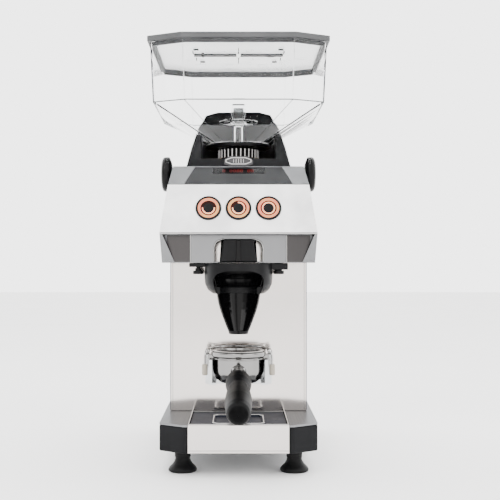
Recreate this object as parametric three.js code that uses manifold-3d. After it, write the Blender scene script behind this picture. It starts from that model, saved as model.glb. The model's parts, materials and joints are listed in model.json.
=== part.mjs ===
// Electronic burr coffee grinder with a clear hopper, three lit dose buttons and an open spout over a portafilter.
// Millimetres, +Z up, front towards -Y. The origin is the centre of the bounding box, on the floor.
import * as THREE from "three";
import { mergeVertices } from "three/addons/utils/BufferGeometryUtils.js";
import { ConvexGeometry } from "three/addons/geometries/ConvexGeometry.js";
import Module from "manifold-3d";

const wasm = await Module();
wasm.setup();

// ---- Driving dimensions ------------------------------------------------------------------------------
const GAP = 0.3; // between pieces that touch on the real machine
const SHEET = 1.8; // steel sheet of the head shell
const ROUND = 16; // sides of an ordinary turned piece
const FINE = 24; // sides of a large turned piece

const FRONT_Y = -103; // front plane of the base
const REAR_Y = 240; // rear face of the base and the rear cover
const COLUMN_Y = 10; // front face of the column
const BURR_Y = 85; // vertical axis of motor, burrs and hopper
const SPOUT_Y = -42; // vertical axis of spout and portafilter

const FOOT_TOP = 28.2;
const BASE_BOTTOM = 28.5;
const BASE_TOP = 60.5;
const DECK_TOP = 63.5;
const BASE_HALF = 98;
const BASE_CHAMFER = 21; // how far the front corners run back
const DRAWER_HALF = 62.2;
const TRAY_FRONT = FRONT_Y + 2.4; // front of the drawer's tray, behind its front plate

const COLUMN_HALF = 91;
const SKIN = 1.5; // column sheet thickness
const SKIRT_Z = 261; // lower edge of the head
const SKIRT_Y = -55; // front edge of the head's underside
const SKIRT_HALF = 97;
const VISOR_Y = -83; // lower front edge of the button panel
const VISOR_Z = 299;
const VISOR_HALF = 98;
const PANEL_TOP_Y = -61;
const PANEL_TOP_Z = 360;
const PANEL_TOP_HALF = 89;
const HEAD_TOP_Y = -17;
const HEAD_TOP_Z = 387;
const HEAD_TOP_HALF = 85;

const PANEL_TILT = Math.atan2(PANEL_TOP_Y - VISOR_Y, PANEL_TOP_Z - VISOR_Z);
const PANEL_LENGTH = Math.hypot(PANEL_TOP_Y - VISOR_Y, PANEL_TOP_Z - VISOR_Z);
const DECK_SLOPE = Math.atan2(HEAD_TOP_Z - PANEL_TOP_Z, HEAD_TOP_Y - PANEL_TOP_Y);
const DECK_LENGTH = Math.hypot(HEAD_TOP_Z - PANEL_TOP_Z, HEAD_TOP_Y - PANEL_TOP_Y);

const BUTTON_PITCH = 37.5;
const BUTTON_R = 15.4;
const BUTTON_UP = 32; // up the panel from its lower edge

const KNOB_Z = 380;
const WORM_Y = 23;
const RING_R = 57;
const WORM_R = 4.6;

const LID_HALF = [119.5, 125.5];
const LID_TOP = 557.6;
const HOPPER_TOP = 550.3;
const HOPPER_TOP_HALF = [116, 122];
const HOPPER_KNEE_Z = 472; // where the walls turn in to the funnel
const HOPPER_KNEE_HALF = [112.5, 118.5];
const HOPPER_CHAMFER = [43, 22];
const LID_CHAMFER = [45, 23];
const HOPPER_WALL = 2.5;
const FUNNEL_Z = 427; // foot of the hopper's funnel
const FUNNEL_R = 45;
const SPIGOT_R = 40.2;

const RIM_Z = 148; // top of the portafilter
const BOWL_R = 32.6;
const RIM_R = 35;
const HANDLE_DROP = THREE.MathUtils.degToRad(9.5);

// ---- Solids: three.js shapes, joined and cut ---------------------------------------------------------
function solid(geometry) {
  const bare = geometry.clone();
  bare.deleteAttribute("normal");
  bare.deleteAttribute("uv");
  const merged = mergeVertices(bare, 1e-4);
  const position = merged.attributes.position;
  const at = (i) => new THREE.Vector3().fromBufferAttribute(position, i);
  const triangles = [];
  let volume = 0;
  for (let i = 0; i < merged.index.count; i += 3) {
    const [a, b, c] = [0, 1, 2].map((k) => merged.index.getX(i + k));
    if (a === b || b === c || c === a) continue;
    triangles.push([a, b, c]);
    volume += at(a).dot(at(b).cross(at(c)));
  }
  const facing = volume < 0 ? triangles.map(([a, b, c]) => [a, c, b]) : triangles;
  const mesh = new wasm.Mesh({
    numProp: 3,
    vertProperties: new Float32Array(position.array),
    triVerts: new Uint32Array(facing.flat()),
  });
  mesh.merge();
  return new wasm.Manifold(mesh);
}

const join = (first, ...rest) => rest.reduce((sum, next) => sum.add(next), first);
const cut = (first, ...rest) => rest.reduce((sum, next) => sum.subtract(next), first);

// A block between two corners.
function block([x0, x1], [y0, y1], [z0, z1]) {
  const box = new THREE.BoxGeometry(x1 - x0, y1 - y0, z1 - z0);
  return solid(box.translate((x0 + x1) / 2, (y0 + y1) / 2, (z0 + z1) / 2));
}

// A turned piece about the vertical line through (x, y), from a profile of [radius, height] points.
function turned(profile, x = 0, y = 0, sides = ROUND, depth = 1) {
  const points = profile.map(([r, z]) => new THREE.Vector2(r, z));
  const lathe = new THREE.LatheGeometry(points, sides).rotateX(Math.PI / 2);
  return solid(lathe.scale(1, depth, 1).translate(x, y, 0));
}

// A ring or disc between two heights.
function disc(outer, inner, [z0, z1], x = 0, y = 0, sides = ROUND) {
  const profile = [[inner, z0], [outer, z0], [outer, z1], [inner, z1]];
  if (inner > 0) profile.push([inner, z0]);
  return turned(profile, x, y, sides);
}

// A rod along X or Y.
function rod(axis, radius, [from, to], [u, v], sides = ROUND) {
  const rodShape = new THREE.CylinderGeometry(radius, radius, to - from, sides);
  const middle = (from + to) / 2;
  if (axis === "x") return solid(rodShape.rotateZ(Math.PI / 2).translate(middle, u, v));
  return solid(rodShape.translate(u, middle, v));
}

function outline(points) {
  return new THREE.Shape(points.map(([a, b]) => new THREE.Vector2(a, b)));
}

// An outline in X and Y, raised along Z.
function raised(points, [z0, z1]) {
  const raisedShape = new THREE.ExtrudeGeometry(outline(points), { depth: z1 - z0, bevelEnabled: false });
  return solid(raisedShape.translate(0, 0, z0));
}

// An outline in X and Z, swept along Y.
function sweptY(points, [y0, y1]) {
  const swept = new THREE.ExtrudeGeometry(outline(points), { depth: y1 - y0, bevelEnabled: false });
  return solid(swept.rotateX(Math.PI / 2).translate(0, y1, 0));
}

// An outline in Y and Z, swept along X between -half and +half.
function sweptX(points, half) {
  const swept = new THREE.ExtrudeGeometry(outline(points), { depth: 2 * half, bevelEnabled: false });
  const turn = new THREE.Matrix4().set(0, 0, 1, -half, 1, 0, 0, 0, 0, 1, 0, 0, 0, 0, 0, 1);
  return solid(swept.applyMatrix4(turn));
}

// The tightest solid round a set of points.
const hull = (points) => solid(new ConvexGeometry(points.map((p) => new THREE.Vector3(...p))));

// A point and its mirror image across the middle plane.
const mirrored = (points) => points.flatMap(([x, y, z]) => [[x, y, z], [-x, y, z]]);

// An octagon: a rectangle of the given half sizes with its corners cut.
function octagon([halfX, halfY], [chamferX, chamferY], y = 0) {
  const corner = [[halfX - chamferX, halfY], [halfX, halfY - chamferY]];
  const right = [...corner, ...corner.map(([a, b]) => [a, -b]).reverse()];
  const left = right.map(([a, b]) => [-a, -b]);
  return [...right, ...left].map(([a, b]) => [a, b + y]);
}

// A wire or rod of round section through the given points.
function wire(points, radius, sides, steps) {
  const path = new THREE.CatmullRomCurve3(points.map((p) => new THREE.Vector3(...p)));
  const section = new THREE.Shape();
  for (let i = 0; i < sides; i += 1) {
    const angle = (2 * Math.PI * i) / sides;
    const corner = [radius * Math.cos(angle), radius * Math.sin(angle)];
    if (i === 0) section.moveTo(...corner);
    else section.lineTo(...corner);
  }
  section.closePath();
  return solid(new THREE.ExtrudeGeometry(section, { steps, extrudePath: path, bevelEnabled: false }));
}

// The same solid repeated in equal turns about the vertical line through (0, y).
function around(count, y, make) {
  const copies = [];
  for (let i = 0; i < count; i += 1) {
    copies.push(make().translate([0, -y, 0]).rotate([0, 0, (360 * i) / count]).translate([0, y, 0]));
  }
  return copies;
}

const circle = (radius, z, count) => Array.from({ length: count }, (_, i) => {
  const angle = (2 * Math.PI * i) / count;
  return [radius * Math.cos(angle), BURR_Y + radius * Math.sin(angle), z];
});
const level = (half, chamfer, z) => octagon(half, chamfer, BURR_Y).map(([x, y]) => [x, y, z]);

// The hopper's form drawn in by a margin: a slightly flared octagon over a funnel.
function hopperForm(margin) {
  const drawnIn = ([x, y]) => [x - margin, y - margin];
  const top = level(drawnIn(HOPPER_TOP_HALF), HOPPER_CHAMFER, HOPPER_TOP + Math.max(margin, 0));
  const knee = level(drawnIn(HOPPER_KNEE_HALF), HOPPER_CHAMFER, HOPPER_KNEE_Z + margin / 2);
  const foot = circle(FUNNEL_R - margin, FUNNEL_Z - 0.01 * margin, FINE);
  return join(hull([...top, ...knee]), hull([...knee, ...foot]));
}

// ---- Materials ---------------------------------------------------------------------------------------
const finish = (color, roughness, metalness) => ({ color, roughness, metalness });
const POLISHED = finish(0xdad6d1, 0.15, 1);
const BRUSHED = finish(0x8f9092, 0.4, 1);
const PLAIN_STEEL = finish(0xa9abad, 0.35, 1);
const CHROME = finish(0xcfd0d2, 0.1, 1);
const PANEL_WHITE = finish(0xeeeeef, 0.35, 0.2);
const BLACK_PLASTIC = finish(0x17181a, 0.4, 0);
const GREY_PLASTIC = finish(0x2f3133, 0.5, 0);
const RUBBER = finish(0x0f0f10, 0.85, 0);
const CAST = finish(0x55585b, 0.6, 0.6);
const CLEAR = { ...finish(0xf4f6f6, 0.05, 0), transparent: true, opacity: 0.3 };
const BRASS = finish(0xb5893f, 0.35, 1);
const COPPER = finish(0xa4603a, 0.4, 1);
const BURR_STEEL = finish(0x6f7276, 0.3, 1);
const BOARD_GREEN = finish(0x1e5a38, 0.6, 0);
const DARK_GLASS = finish(0x0a0a0c, 0.08, 0);
const CAPACITOR_GREY = finish(0xc9ccce, 0.5, 0.1);

const grinder = new THREE.Group();

// Adds one named piece, made where it stands or in its own frame and then placed.
function piece(name, shape, material, parent = grinder) {
  const { vertProperties, triVerts } = shape.getMesh();
  const geometry = new THREE.BufferGeometry();
  geometry.setAttribute("position", new THREE.BufferAttribute(new Float32Array(vertProperties), 3));
  geometry.setIndex(new THREE.BufferAttribute(new Uint32Array(triVerts), 1));
  geometry.computeVertexNormals();
  const mesh = new THREE.Mesh(geometry, new THREE.MeshStandardMaterial(material));
  mesh.name = name;
  parent.add(mesh);
  return mesh;
}

// ---- Base --------------------------------------------------------------------------------------------
const BASE_FLAT = 67.5; // half width of the flat front
const BASE_PLAN = [
  [-BASE_FLAT, FRONT_Y], [BASE_FLAT, FRONT_Y], [BASE_HALF, FRONT_Y + BASE_CHAMFER],
  [BASE_HALF, REAR_Y], [-BASE_HALF, REAR_Y], [-BASE_HALF, FRONT_Y + BASE_CHAMFER],
];
const CORNER_BACK = -60; // rear face of the front corner blocks

function baseCasting() {
  const whole = raised(BASE_PLAN, [BASE_BOTTOM, BASE_TOP]);
  const drawerBay = block([-DRAWER_HALF, DRAWER_HALF], [FRONT_Y - 1, COLUMN_Y], [30.7, DECK_TOP]);
  const corners = [-1, 1].map((side) => {
    const across = side < 0 ? [-BASE_HALF - 1, -DRAWER_HALF] : [DRAWER_HALF, BASE_HALF + 1];
    return block(across, [FRONT_Y - 1, CORNER_BACK], [BASE_BOTTOM - 1, BASE_TOP + 1]);
  });
  const frontBay = block([-DRAWER_HALF, DRAWER_HALF], [FRONT_Y - 1, TRAY_FRONT], [BASE_BOTTOM - 1, 31]);
  const ribBay = block([-80, 80], [30, 225], [BASE_BOTTOM - 1, 54]);
  return cut(whole, drawerBay, frontBay, ...corners, ribBay);
}

function cornerBlock(side) {
  const across = [DRAWER_HALF + GAP, BASE_HALF + 1].map((x) => x * side).sort((a, b) => a - b);
  const region = block(across, [FRONT_Y - 1, CORNER_BACK - GAP], [BASE_BOTTOM, BASE_TOP]);
  return raised(BASE_PLAN, [BASE_BOTTOM, BASE_TOP]).intersect(region);
}

function baseDeck() {
  const whole = raised(BASE_PLAN, [BASE_TOP + GAP, DECK_TOP]);
  return cut(whole, block([-DRAWER_HALF, DRAWER_HALF], [FRONT_Y - 1, COLUMN_Y], [BASE_TOP, DECK_TOP + 1]));
}

const FOOT_PROFILE = [
  [0, 0], [17, 0], [18, 1.5], [18, 5], [13, 9], [9.5, 15], [9.5, 21], [13, 25], [13, FOOT_TOP], [0, FOOT_TOP],
];
const FOOT_X = 70;
const FOOT_FRONT_Y = -66;
const FOOT_REAR_Y = 205;

piece("base_casting", baseCasting(), CAST);
piece("corner_block_left", cornerBlock(-1), GREY_PLASTIC);
piece("corner_block_right", cornerBlock(1), GREY_PLASTIC);
piece("base_deck", baseDeck(), BRUSHED);
for (const [end, y] of [["front", FOOT_FRONT_Y], ["rear", FOOT_REAR_Y]]) {
  for (const [side, x] of [["left", -FOOT_X], ["right", FOOT_X]]) {
    piece(`foot_${end}_${side}`, turned(FOOT_PROFILE, 0, 0, ROUND), RUBBER).position.set(x, y, 0);
  }
}

// ---- Grounds drawer ----------------------------------------------------------------------------------
const TRAY_HALF = DRAWER_HALF - GAP;
const TRAY_BACK = COLUMN_Y - 1;
const TRAY_WALL = 1.5;
const TRAY_FLOOR = 59.2;

function drawerTray() {
  const whole = block([-TRAY_HALF, TRAY_HALF], [TRAY_FRONT, TRAY_BACK], [31.2, DECK_TOP]);
  const inside = TRAY_HALF - TRAY_WALL;
  const under = block([-inside, inside], [TRAY_FRONT + TRAY_WALL, TRAY_BACK + 1], [31, TRAY_FLOOR - TRAY_WALL]);
  const recess = block([-inside, inside], [TRAY_FRONT + TRAY_WALL, TRAY_BACK - TRAY_WALL], [TRAY_FLOOR, DECK_TOP + 1]);
  return cut(whole, under, recess);
}

// The dark mat in the tray, with a plain raised oblong frame in its middle.
function trayMat() {
  const half = TRAY_HALF - TRAY_WALL - GAP;
  const back = TRAY_BACK - TRAY_WALL - GAP;
  const plate = block([-half, half], [TRAY_FRONT + TRAY_WALL + GAP, back], [TRAY_FLOOR + GAP, 61.4]);
  const frame = raised(octagon([34, 36], [6, 6], -54), [61.2, 62.9]);
  return join(plate, cut(frame, raised(octagon([29, 31], [4, 4], -54), [61.4, 63])));
}

piece("drawer_tray", drawerTray(), PLAIN_STEEL);
piece("drawer_mat", trayMat(), DARK_GLASS);
piece("drawer_front", block([-TRAY_HALF, TRAY_HALF], [FRONT_Y, TRAY_FRONT - GAP], [29, DECK_TOP]), POLISHED);

// ---- Column ------------------------------------------------------------------------------------------
const COLUMN_FOOT = DECK_TOP + GAP;
const SIDE_TOP = 300; // the side sheets run up inside the head
const FRONT_TOP = 292; // the front sheet stops under the exit chute
const MOTOR_R = 60;
const MOTOR_PLATE = [206, 210];
const CHAMBER_PLATE = [298, 303];
const UPRIGHT_X = 83;

function chassis() {
  const foot = block([-86, 86], [16, 234], [COLUMN_FOOT, 67]);
  const uprights = [-1, 1].map((side) => {
    const across = [side * UPRIGHT_X, side * (UPRIGHT_X + 3)].sort((a, b) => a - b);
    return block(across, [40, 130], [66, CHAMBER_PLATE[1]]);
  });
  const motorPlate = block([-UPRIGHT_X - 1, UPRIGHT_X + 1], [40, 130], MOTOR_PLATE);
  const boss = disc(24, 0, [MOTOR_PLATE[0], 220], 0, BURR_Y);
  const chamberPlate = block([-UPRIGHT_X - 1, UPRIGHT_X + 1], [40, 130], CHAMBER_PLATE);
  const boardPlate = block([10, 80], [190, 193], [66, 195]);
  const seat = disc(18.3, 0, [208, 221], 0, BURR_Y);
  const shaftWay = disc(10, 0, [200, 310], 0, BURR_Y);
  const motorStrap = block([-40, 40], [145.5, 148.5], [66, 180]);
  return cut(join(foot, ...uprights, motorPlate, boss, chamberPlate, boardPlate, motorStrap), seat, shaftWay);
}

const SWITCH_X = 22;
const SOCKET_X = -32;
const REAR_FITTINGS_Z = 100;
const VENT_SLOTS = 9;

function columnFront() {
  const sheet = block([-COLUMN_HALF, COLUMN_HALF], [COLUMN_Y, COLUMN_Y + SKIN], [COLUMN_FOOT, FRONT_TOP]);
  return cut(sheet, rod("y", 5.6, [COLUMN_Y - 2, COLUMN_Y + 4], [0, DOSE_Z]));
}

function sidePanel(side) {
  const across = [side * (COLUMN_HALF - SKIN), side * COLUMN_HALF].sort((a, b) => a - b);
  return block(across, [COLUMN_Y + SKIN + GAP, REAR_Y - SHEET - GAP], [COLUMN_FOOT, SIDE_TOP]);
}

function rearCover() {
  const sheet = block([-COLUMN_HALF, COLUMN_HALF], [REAR_Y - SKIN, REAR_Y], [COLUMN_FOOT, SKIRT_Z - GAP]);
  const through = [REAR_Y - 4, REAR_Y + 2];
  const slots = [];
  for (let i = 0; i < VENT_SLOTS; i += 1) {
    slots.push(block([-50, 50], through, [160 + 9 * i, 164 + 9 * i]));
  }
  const socketHole = block([SOCKET_X - 14, SOCKET_X + 14], through, [REAR_FITTINGS_Z - 11, REAR_FITTINGS_Z + 11]);
  const switchHole = block([SWITCH_X - 7, SWITCH_X + 7], through, [REAR_FITTINGS_Z - 11, REAR_FITTINGS_Z + 11]);
  return cut(sheet, socketHole, switchHole, ...slots);
}

// The mains socket: a flanged box with a hollow for the plug and three pins in it.
function powerInlet() {
  const z = REAR_FITTINGS_Z;
  const body = block([SOCKET_X - 13.7, SOCKET_X + 13.7], [222, REAR_Y + 1], [z - 10.7, z + 10.7]);
  const flange = block([SOCKET_X - 18, SOCKET_X + 18], [REAR_Y + GAP, 242], [z - 14, z + 14]);
  const hollow = block([SOCKET_X - 11.7, SOCKET_X + 11.7], [226, 243], [z - 8, z + 8]);
  const pins = [-7, 0, 7].map((x) => {
    const height = x === 0 ? 2 : -2;
    return block([SOCKET_X + x - 1, SOCKET_X + x + 1], [225, 238], [z + height - 2.5, z + height + 2.5]);
  });
  return join(cut(join(body, flange), hollow), ...pins);
}

// The rocker in its own frame: it turns about X through its middle.
function powerRocker() {
  const profile = [[-9.5, 1.8], [-9.5, -3], [9.5, -3], [9.5, 0.6], [0, -0.4]];
  const side = profile.map(([z, y]) => [y, z]);
  return sweptX(side, 6.4);
}

const DOSE_Z = 128; // height of the portafilter's switch

piece("chassis", chassis(), PLAIN_STEEL);
piece("column_front_panel", columnFront(), POLISHED);
piece("side_panel_left", sidePanel(-1), POLISHED);
piece("side_panel_right", sidePanel(1), POLISHED);
piece("rear_cover", rearCover(), BRUSHED);
piece("power_inlet", powerInlet(), BLACK_PLASTIC);
piece("power_switch", powerRocker(), BLACK_PLASTIC).position.set(SWITCH_X, REAR_Y - 0.6, REAR_FITTINGS_Z);

// ---- Motor -------------------------------------------------------------------------------------------
const SHAFT_R = 7;
const ROTOR_R = 28.5;

function rotorShaft() {
  return turned([
    [0, 82], [SHAFT_R, 82], [SHAFT_R, 99], [ROTOR_R, 99], [ROTOR_R, 193], [SHAFT_R, 193], [SHAFT_R, 333], [0, 333],
  ], 0, BURR_Y);
}

function endBell() {
  const cup = cut(disc(MOTOR_R, 0, [72, 95.7], 0, BURR_Y), disc(MOTOR_R - 4, 0, [88, 97], 0, BURR_Y));
  const seat = disc(22, 0, [80, 95], 0, BURR_Y);
  return cut(join(cup, seat), disc(15.3, 0, [83.7, 97], 0, BURR_Y), disc(9, 0, [76, 97], 0, BURR_Y));
}

function coolingFan() {
  const hub = disc(14, SHAFT_R + GAP, [224, 242], 0, BURR_Y);
  const back = disc(46, SHAFT_R + GAP, [224, 226], 0, BURR_Y);
  const blades = around(9, BURR_Y, () => block([12, 46], [BURR_Y - 1, BURR_Y + 1], [225, 242]));
  return join(hub, back, ...blades);
}

function controlBoard() {
  const board = block([12, 78], [193.3, 195], [80, 190]);
  const relay = block([18, 38], [194.5, 210], [150, 178]);
  const transformer = block([46, 72], [194.5, 216], [95, 125]);
  const plug = block([18, 34], [194.5, 204], [92, 104]);
  return join(board, relay, transformer, plug);
}

const bearing = (outer, [z0, z1]) => disc(outer, SHAFT_R + GAP, [z0, z1], 0, BURR_Y);

piece("motor_stator", disc(MOTOR_R - 2, ROTOR_R + 0.8, [96, 196], 0, BURR_Y, FINE), COPPER);
piece("motor_end_bell", endBell(), CAST);
piece("lower_bearing", bearing(15, [84, 94]), BURR_STEEL);
piece("upper_bearing", bearing(18, [208.3, 219]), BURR_STEEL);
piece("rotor_shaft", rotorShaft(), PLAIN_STEEL);
piece("cooling_fan", coolingFan(), BLACK_PLASTIC);
piece("start_capacitor", disc(20, 0, [67.3, 150], -50, 190), CAPACITOR_GREY);
piece("control_board", controlBoard(), BOARD_GREEN);

// ---- Burrs and grind setting -------------------------------------------------------------------------
const CHAMBER_R = 50; // inside radius of the grinding chamber
const BURR_OUT = 44;
const BURR_IN = 24;
const THROAT_R = 22;
const RING_TEETH = 30;
const KNOB_IN = 89; // inner end of a knob
const SHAFT_END = 93; // the worm's shaft runs this far into each knob

function grindingChamber() {
  const cup = cut(disc(58, 0, [303.3, 366], 0, BURR_Y, FINE), disc(CHAMBER_R, 0, [310, 367], 0, BURR_Y, FINE));
  const outlet = block([-18, 18], [20, 45], [312, 336]);
  return cut(cup, disc(9, 0, [302, 312], 0, BURR_Y), outlet);
}

// The duct that leads the grounds forward and down to the spout.
function exitChute() {
  const outer = mirrored([
    [20, 25, 309], [20, 25, 339], [19, -47, 297], [24, -62, 261.5], [24, -24, 261.5],
  ]);
  const inner = mirrored([
    [17.5, 27, 311.5], [17.5, 27, 336.5], [16.5, -44.5, 294], [21.5, -60, 260], [21.5, -26, 260],
  ]);
  return cut(hull(outer), hull(inner));
}

function lowerCarrier() {
  const plate = turned([[SHAFT_R + GAP, 316], [14, 316], [14, 322], [46, 322], [46, 334], [SHAFT_R + GAP, 334],
    [SHAFT_R + GAP, 316]], 0, BURR_Y);
  const vanes = around(4, BURR_Y, () => block([40, 49], [BURR_Y - 1.5, BURR_Y + 1.5], [312, 323]));
  const arms = around(4, BURR_Y, () => block([10, 46], [BURR_Y - 1.5, BURR_Y + 1.5], [318, 323]));
  return join(plate, ...arms, ...vanes);
}

// A flat burr: a ring with slanting grooves across its working face.
function burr([z0, z1], grooveZ) {
  const ring = disc(BURR_OUT, BURR_IN, [z0, z1], 0, BURR_Y, FINE);
  const grooves = around(12, BURR_Y, () => {
    const groove = block([20, 46], [-1.3, 1.3], [grooveZ - 1.5, grooveZ + 1.5]);
    return groove.rotate([0, 0, 14]).translate([0, BURR_Y, 0]);
  });
  return cut(ring, ...grooves);
}

function upperCarrier() {
  return turned([
    [THROAT_R, 350], [CHAMBER_R - 0.6, 350], [CHAMBER_R - 0.6, 367], [44.5, 370], [44.5, 388], [THROAT_R, 388],
    [THROAT_R, 350],
  ], 0, BURR_Y, FINE);
}

// The worm wheel that turns the upper burr's thread.
function adjustingRing() {
  const ring = disc(RING_R, 45.5, [371, 384.5], 0, BURR_Y, FINE);
  const spaces = around(RING_TEETH, BURR_Y, () => {
    const space = block([RING_R - 3, RING_R + 3], [-1.6, 1.6], [370, 386]);
    return space.translate([0, BURR_Y, 0]);
  });
  return cut(ring, ...spaces);
}

// The worm across the front of the ring, on a shaft that carries a knob at each end.
function wormShaft() {
  const points = [[0, -SHAFT_END], [3, -SHAFT_END], [3, -15]];
  for (let x = -15; x < 15; x += 5) {
    points.push([3.4, x], [WORM_R, x + 1.5], [WORM_R, x + 3.5], [3.4, x + 5]);
  }
  points.push([3, 15], [3, SHAFT_END], [0, SHAFT_END]);
  const profile = points.map(([r, x]) => new THREE.Vector2(r, x));
  return solid(new THREE.LatheGeometry(profile, 14).rotateZ(-Math.PI / 2));
}

const KNOB_OUT = 103.6;

function settingKnob(side) {
  const profile = [
    [3.4, KNOB_IN], [16, KNOB_IN], [23.3, 92], [23.3, 99], [21.5, 101.8], [16, 103.2], [0, KNOB_OUT],
    [0, SHAFT_END + GAP], [3.4, SHAFT_END + GAP], [3.4, KNOB_IN],
  ].map(([r, x]) => new THREE.Vector2(r, x));
  return solid(new THREE.LatheGeometry(profile, FINE).rotateZ(-Math.PI / 2).scale(side, 1, 1));
}

piece("grinding_chamber", grindingChamber(), CAST);
piece("exit_chute", exitChute(), BLACK_PLASTIC);
piece("lower_burr_carrier", lowerCarrier(), PLAIN_STEEL);
piece("lower_burr", burr([334.3, 341], 341), BURR_STEEL);
piece("upper_burr", burr([342, 348.8], 342), BURR_STEEL);
piece("upper_burr_carrier", upperCarrier(), BRASS);
piece("adjusting_ring", adjustingRing(), BRASS);
piece("worm_shaft", wormShaft(), PLAIN_STEEL).position.set(0, WORM_Y, KNOB_Z);
piece("setting_knob_left", settingKnob(-1), BLACK_PLASTIC).position.set(0, WORM_Y, KNOB_Z);
piece("setting_knob_right", settingKnob(1), BLACK_PLASTIC).position.set(0, WORM_Y, KNOB_Z);

// ---- Head --------------------------------------------------------------------------------------------
const HEAD_REAR = REAR_Y;
const DECK_FRONT_HALF = 68.7; // the dark deck is a trapezium between two brushed cheeks
const DECK_REAR_HALF = 56.8;
const PANEL_THICK = 2;
const GUSSET = 17; // foot of the triangular gusset under each side

// The head's outer form, or the same form drawn in by a margin.
function headForm(margin) {
  const side = [
    [SKIRT_Y + margin, SKIRT_Z + margin], [VISOR_Y + 1.3 * margin, VISOR_Z + 0.3 * margin],
    [PANEL_TOP_Y + margin, PANEL_TOP_Z - 0.7 * margin], [HEAD_TOP_Y + 0.3 * margin, HEAD_TOP_Z - margin],
    [HEAD_REAR - margin, HEAD_TOP_Z - margin], [HEAD_REAR - margin, SKIRT_Z + margin],
  ];
  const right = [
    [SKIRT_HALF - margin, SKIRT_Z - 1], [VISOR_HALF - margin, VISOR_Z],
    [PANEL_TOP_HALF - margin, PANEL_TOP_Z], [HEAD_TOP_HALF - margin, HEAD_TOP_Z + 1],
  ];
  const front = [...right, ...right.map(([x, z]) => [-x, z]).reverse()];
  return sweptX(side, VISOR_HALF + 5).intersect(sweptY(front, [VISOR_Y - 5, HEAD_REAR + 5]));
}

// Places a solid drawn flat (X across, Z up the plate, Y through it) on the button panel.
const onPanel = (shape) => shape.rotate([(-PANEL_TILT * 180) / Math.PI, 0, 0]).translate([0, VISOR_Y, VISOR_Z]);

// Places a solid drawn flat (X across, Y up the slope, Z through it) on the sloping deck.
const onDeck = (shape) => {
  return shape.rotate([(DECK_SLOPE * 180) / Math.PI, 0, 0]).translate([0, PANEL_TOP_Y, PANEL_TOP_Z]);
};

function headShell() {
  const shell = cut(headForm(0), headForm(SHEET));
  const panelSlab = onPanel(block([-120, 120], [-20, PANEL_THICK + GAP], [-30, PANEL_LENGTH]));
  const deckHole = onDeck(raised([
    [-DECK_FRONT_HALF, 0.6], [DECK_FRONT_HALF, 0.6], [DECK_REAR_HALF, DECK_LENGTH - 2],
    [-DECK_REAR_HALF, DECK_LENGTH - 2],
  ], [-6, 6]));
  const underFront = block([-95, 95], [SKIRT_Y + 2, COLUMN_Y], [SKIRT_Z - 3, SKIRT_Z + 4]);
  const column = block([-COLUMN_HALF - GAP, COLUMN_HALF + GAP], [COLUMN_Y - GAP, HEAD_REAR - SHEET], [250, SKIRT_Z + 4]);
  const mouthFoot = SKIRT_HALF - GUSSET;
  const mouth = sweptY([
    [-mouthFoot, SKIRT_Z - 2], [mouthFoot, SKIRT_Z - 2], [VISOR_HALF - 1.8, VISOR_Z + 1],
    [-VISOR_HALF + 1.8, VISOR_Z + 1],
  ], [VISOR_Y - 5, SKIRT_Y + 3]);
  const collarHole = disc(56, 0, [HEAD_TOP_Z - 5, HEAD_TOP_Z + 2], 0, BURR_Y, FINE);
  const shaftHole = rod("x", 4, [-110, 110], [WORM_Y, KNOB_Z], 24);
  const rest = cut(shell, panelSlab, deckHole, underFront, column, mouth, collarHole, shaftHole);
  return cut(rest, block([-60, 60], [HEAD_REAR - 5, HEAD_REAR + 1], [300, 306]));
}

const ARCH_HALF = 31.5;
const ARCH_TOP = 291;

// The plate behind the visor with its arched opening, and the floor of the head in front of the column.
function undersidePanel() {
  const wall = block([-94, 94], [SKIRT_Y + 2.2, SKIRT_Y + 3.8], [SKIRT_Z, VISOR_Z - 1]);
  const floor = block([-94, 94], [SKIRT_Y + 3, COLUMN_Y - 1], [SKIRT_Z, SKIRT_Z + 1.6]);
  const archLow = block([-ARCH_HALF, ARCH_HALF], [-70, -45], [SKIRT_Z - 1, ARCH_TOP - 12]);
  const archMid = block([-ARCH_HALF + 12, ARCH_HALF - 12], [-70, -45], [SKIRT_Z - 1, ARCH_TOP]);
  const shoulders = [-1, 1].map((side) => rod("y", 12, [-70, -45], [side * (ARCH_HALF - 12), ARCH_TOP - 12], 32));
  const chuteHole = block([-26, 26], [-70, -22], [SKIRT_Z - 1, SKIRT_Z + 4]);
  const screwHoles = [-SCREW_X, SCREW_X].map((x) => disc(3.2, 0, [SKIRT_Z - 1, SKIRT_Z + 4], x, SPOUT_Y, 20));
  return cut(join(wall, floor), archLow, archMid, ...shoulders, chuteHole, ...screwHoles);
}

const SCREW_X = 51.5;

function frontPanel() {
  const plate = sweptY([
    [-VISOR_HALF, 0], [VISOR_HALF, 0], [PANEL_TOP_HALF, PANEL_LENGTH - 0.5], [-PANEL_TOP_HALF, PANEL_LENGTH - 0.5],
  ], [0, PANEL_THICK]);
  const holes = [-1, 0, 1].map((i) => {
    return rod("y", BUTTON_R + 0.4, [-5, 10], [i * BUTTON_PITCH, BUTTON_UP], 40);
  });
  return onPanel(cut(plate, ...holes));
}

const WINDOW = { half: 33.5, from: 30, to: 46.5 };

function displayDeck() {
  const plate = raised([
    [-DECK_FRONT_HALF + GAP, 1], [DECK_FRONT_HALF - GAP, 1], [DECK_REAR_HALF - GAP, DECK_LENGTH - 2 - GAP],
    [-DECK_REAR_HALF + GAP, DECK_LENGTH - 2 - GAP],
  ], [-2.2, 0]);
  return onDeck(cut(plate, block([-WINDOW.half, WINDOW.half], [WINDOW.from, WINDOW.to], [-4, 4])));
}

function displayWindow() {
  const half = WINDOW.half - GAP;
  return onDeck(block([-half, half], [WINDOW.from + GAP, WINDOW.to - GAP], [-2, -0.4]));
}

// A lit push button in the panel's frame: a flat cap and its stem.
function doseButton() {
  return join(rod("y", BUTTON_R, [-2, 4], [0, 0], FINE), rod("y", 5, [3, 14], [0, 0], 24));
}

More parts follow.
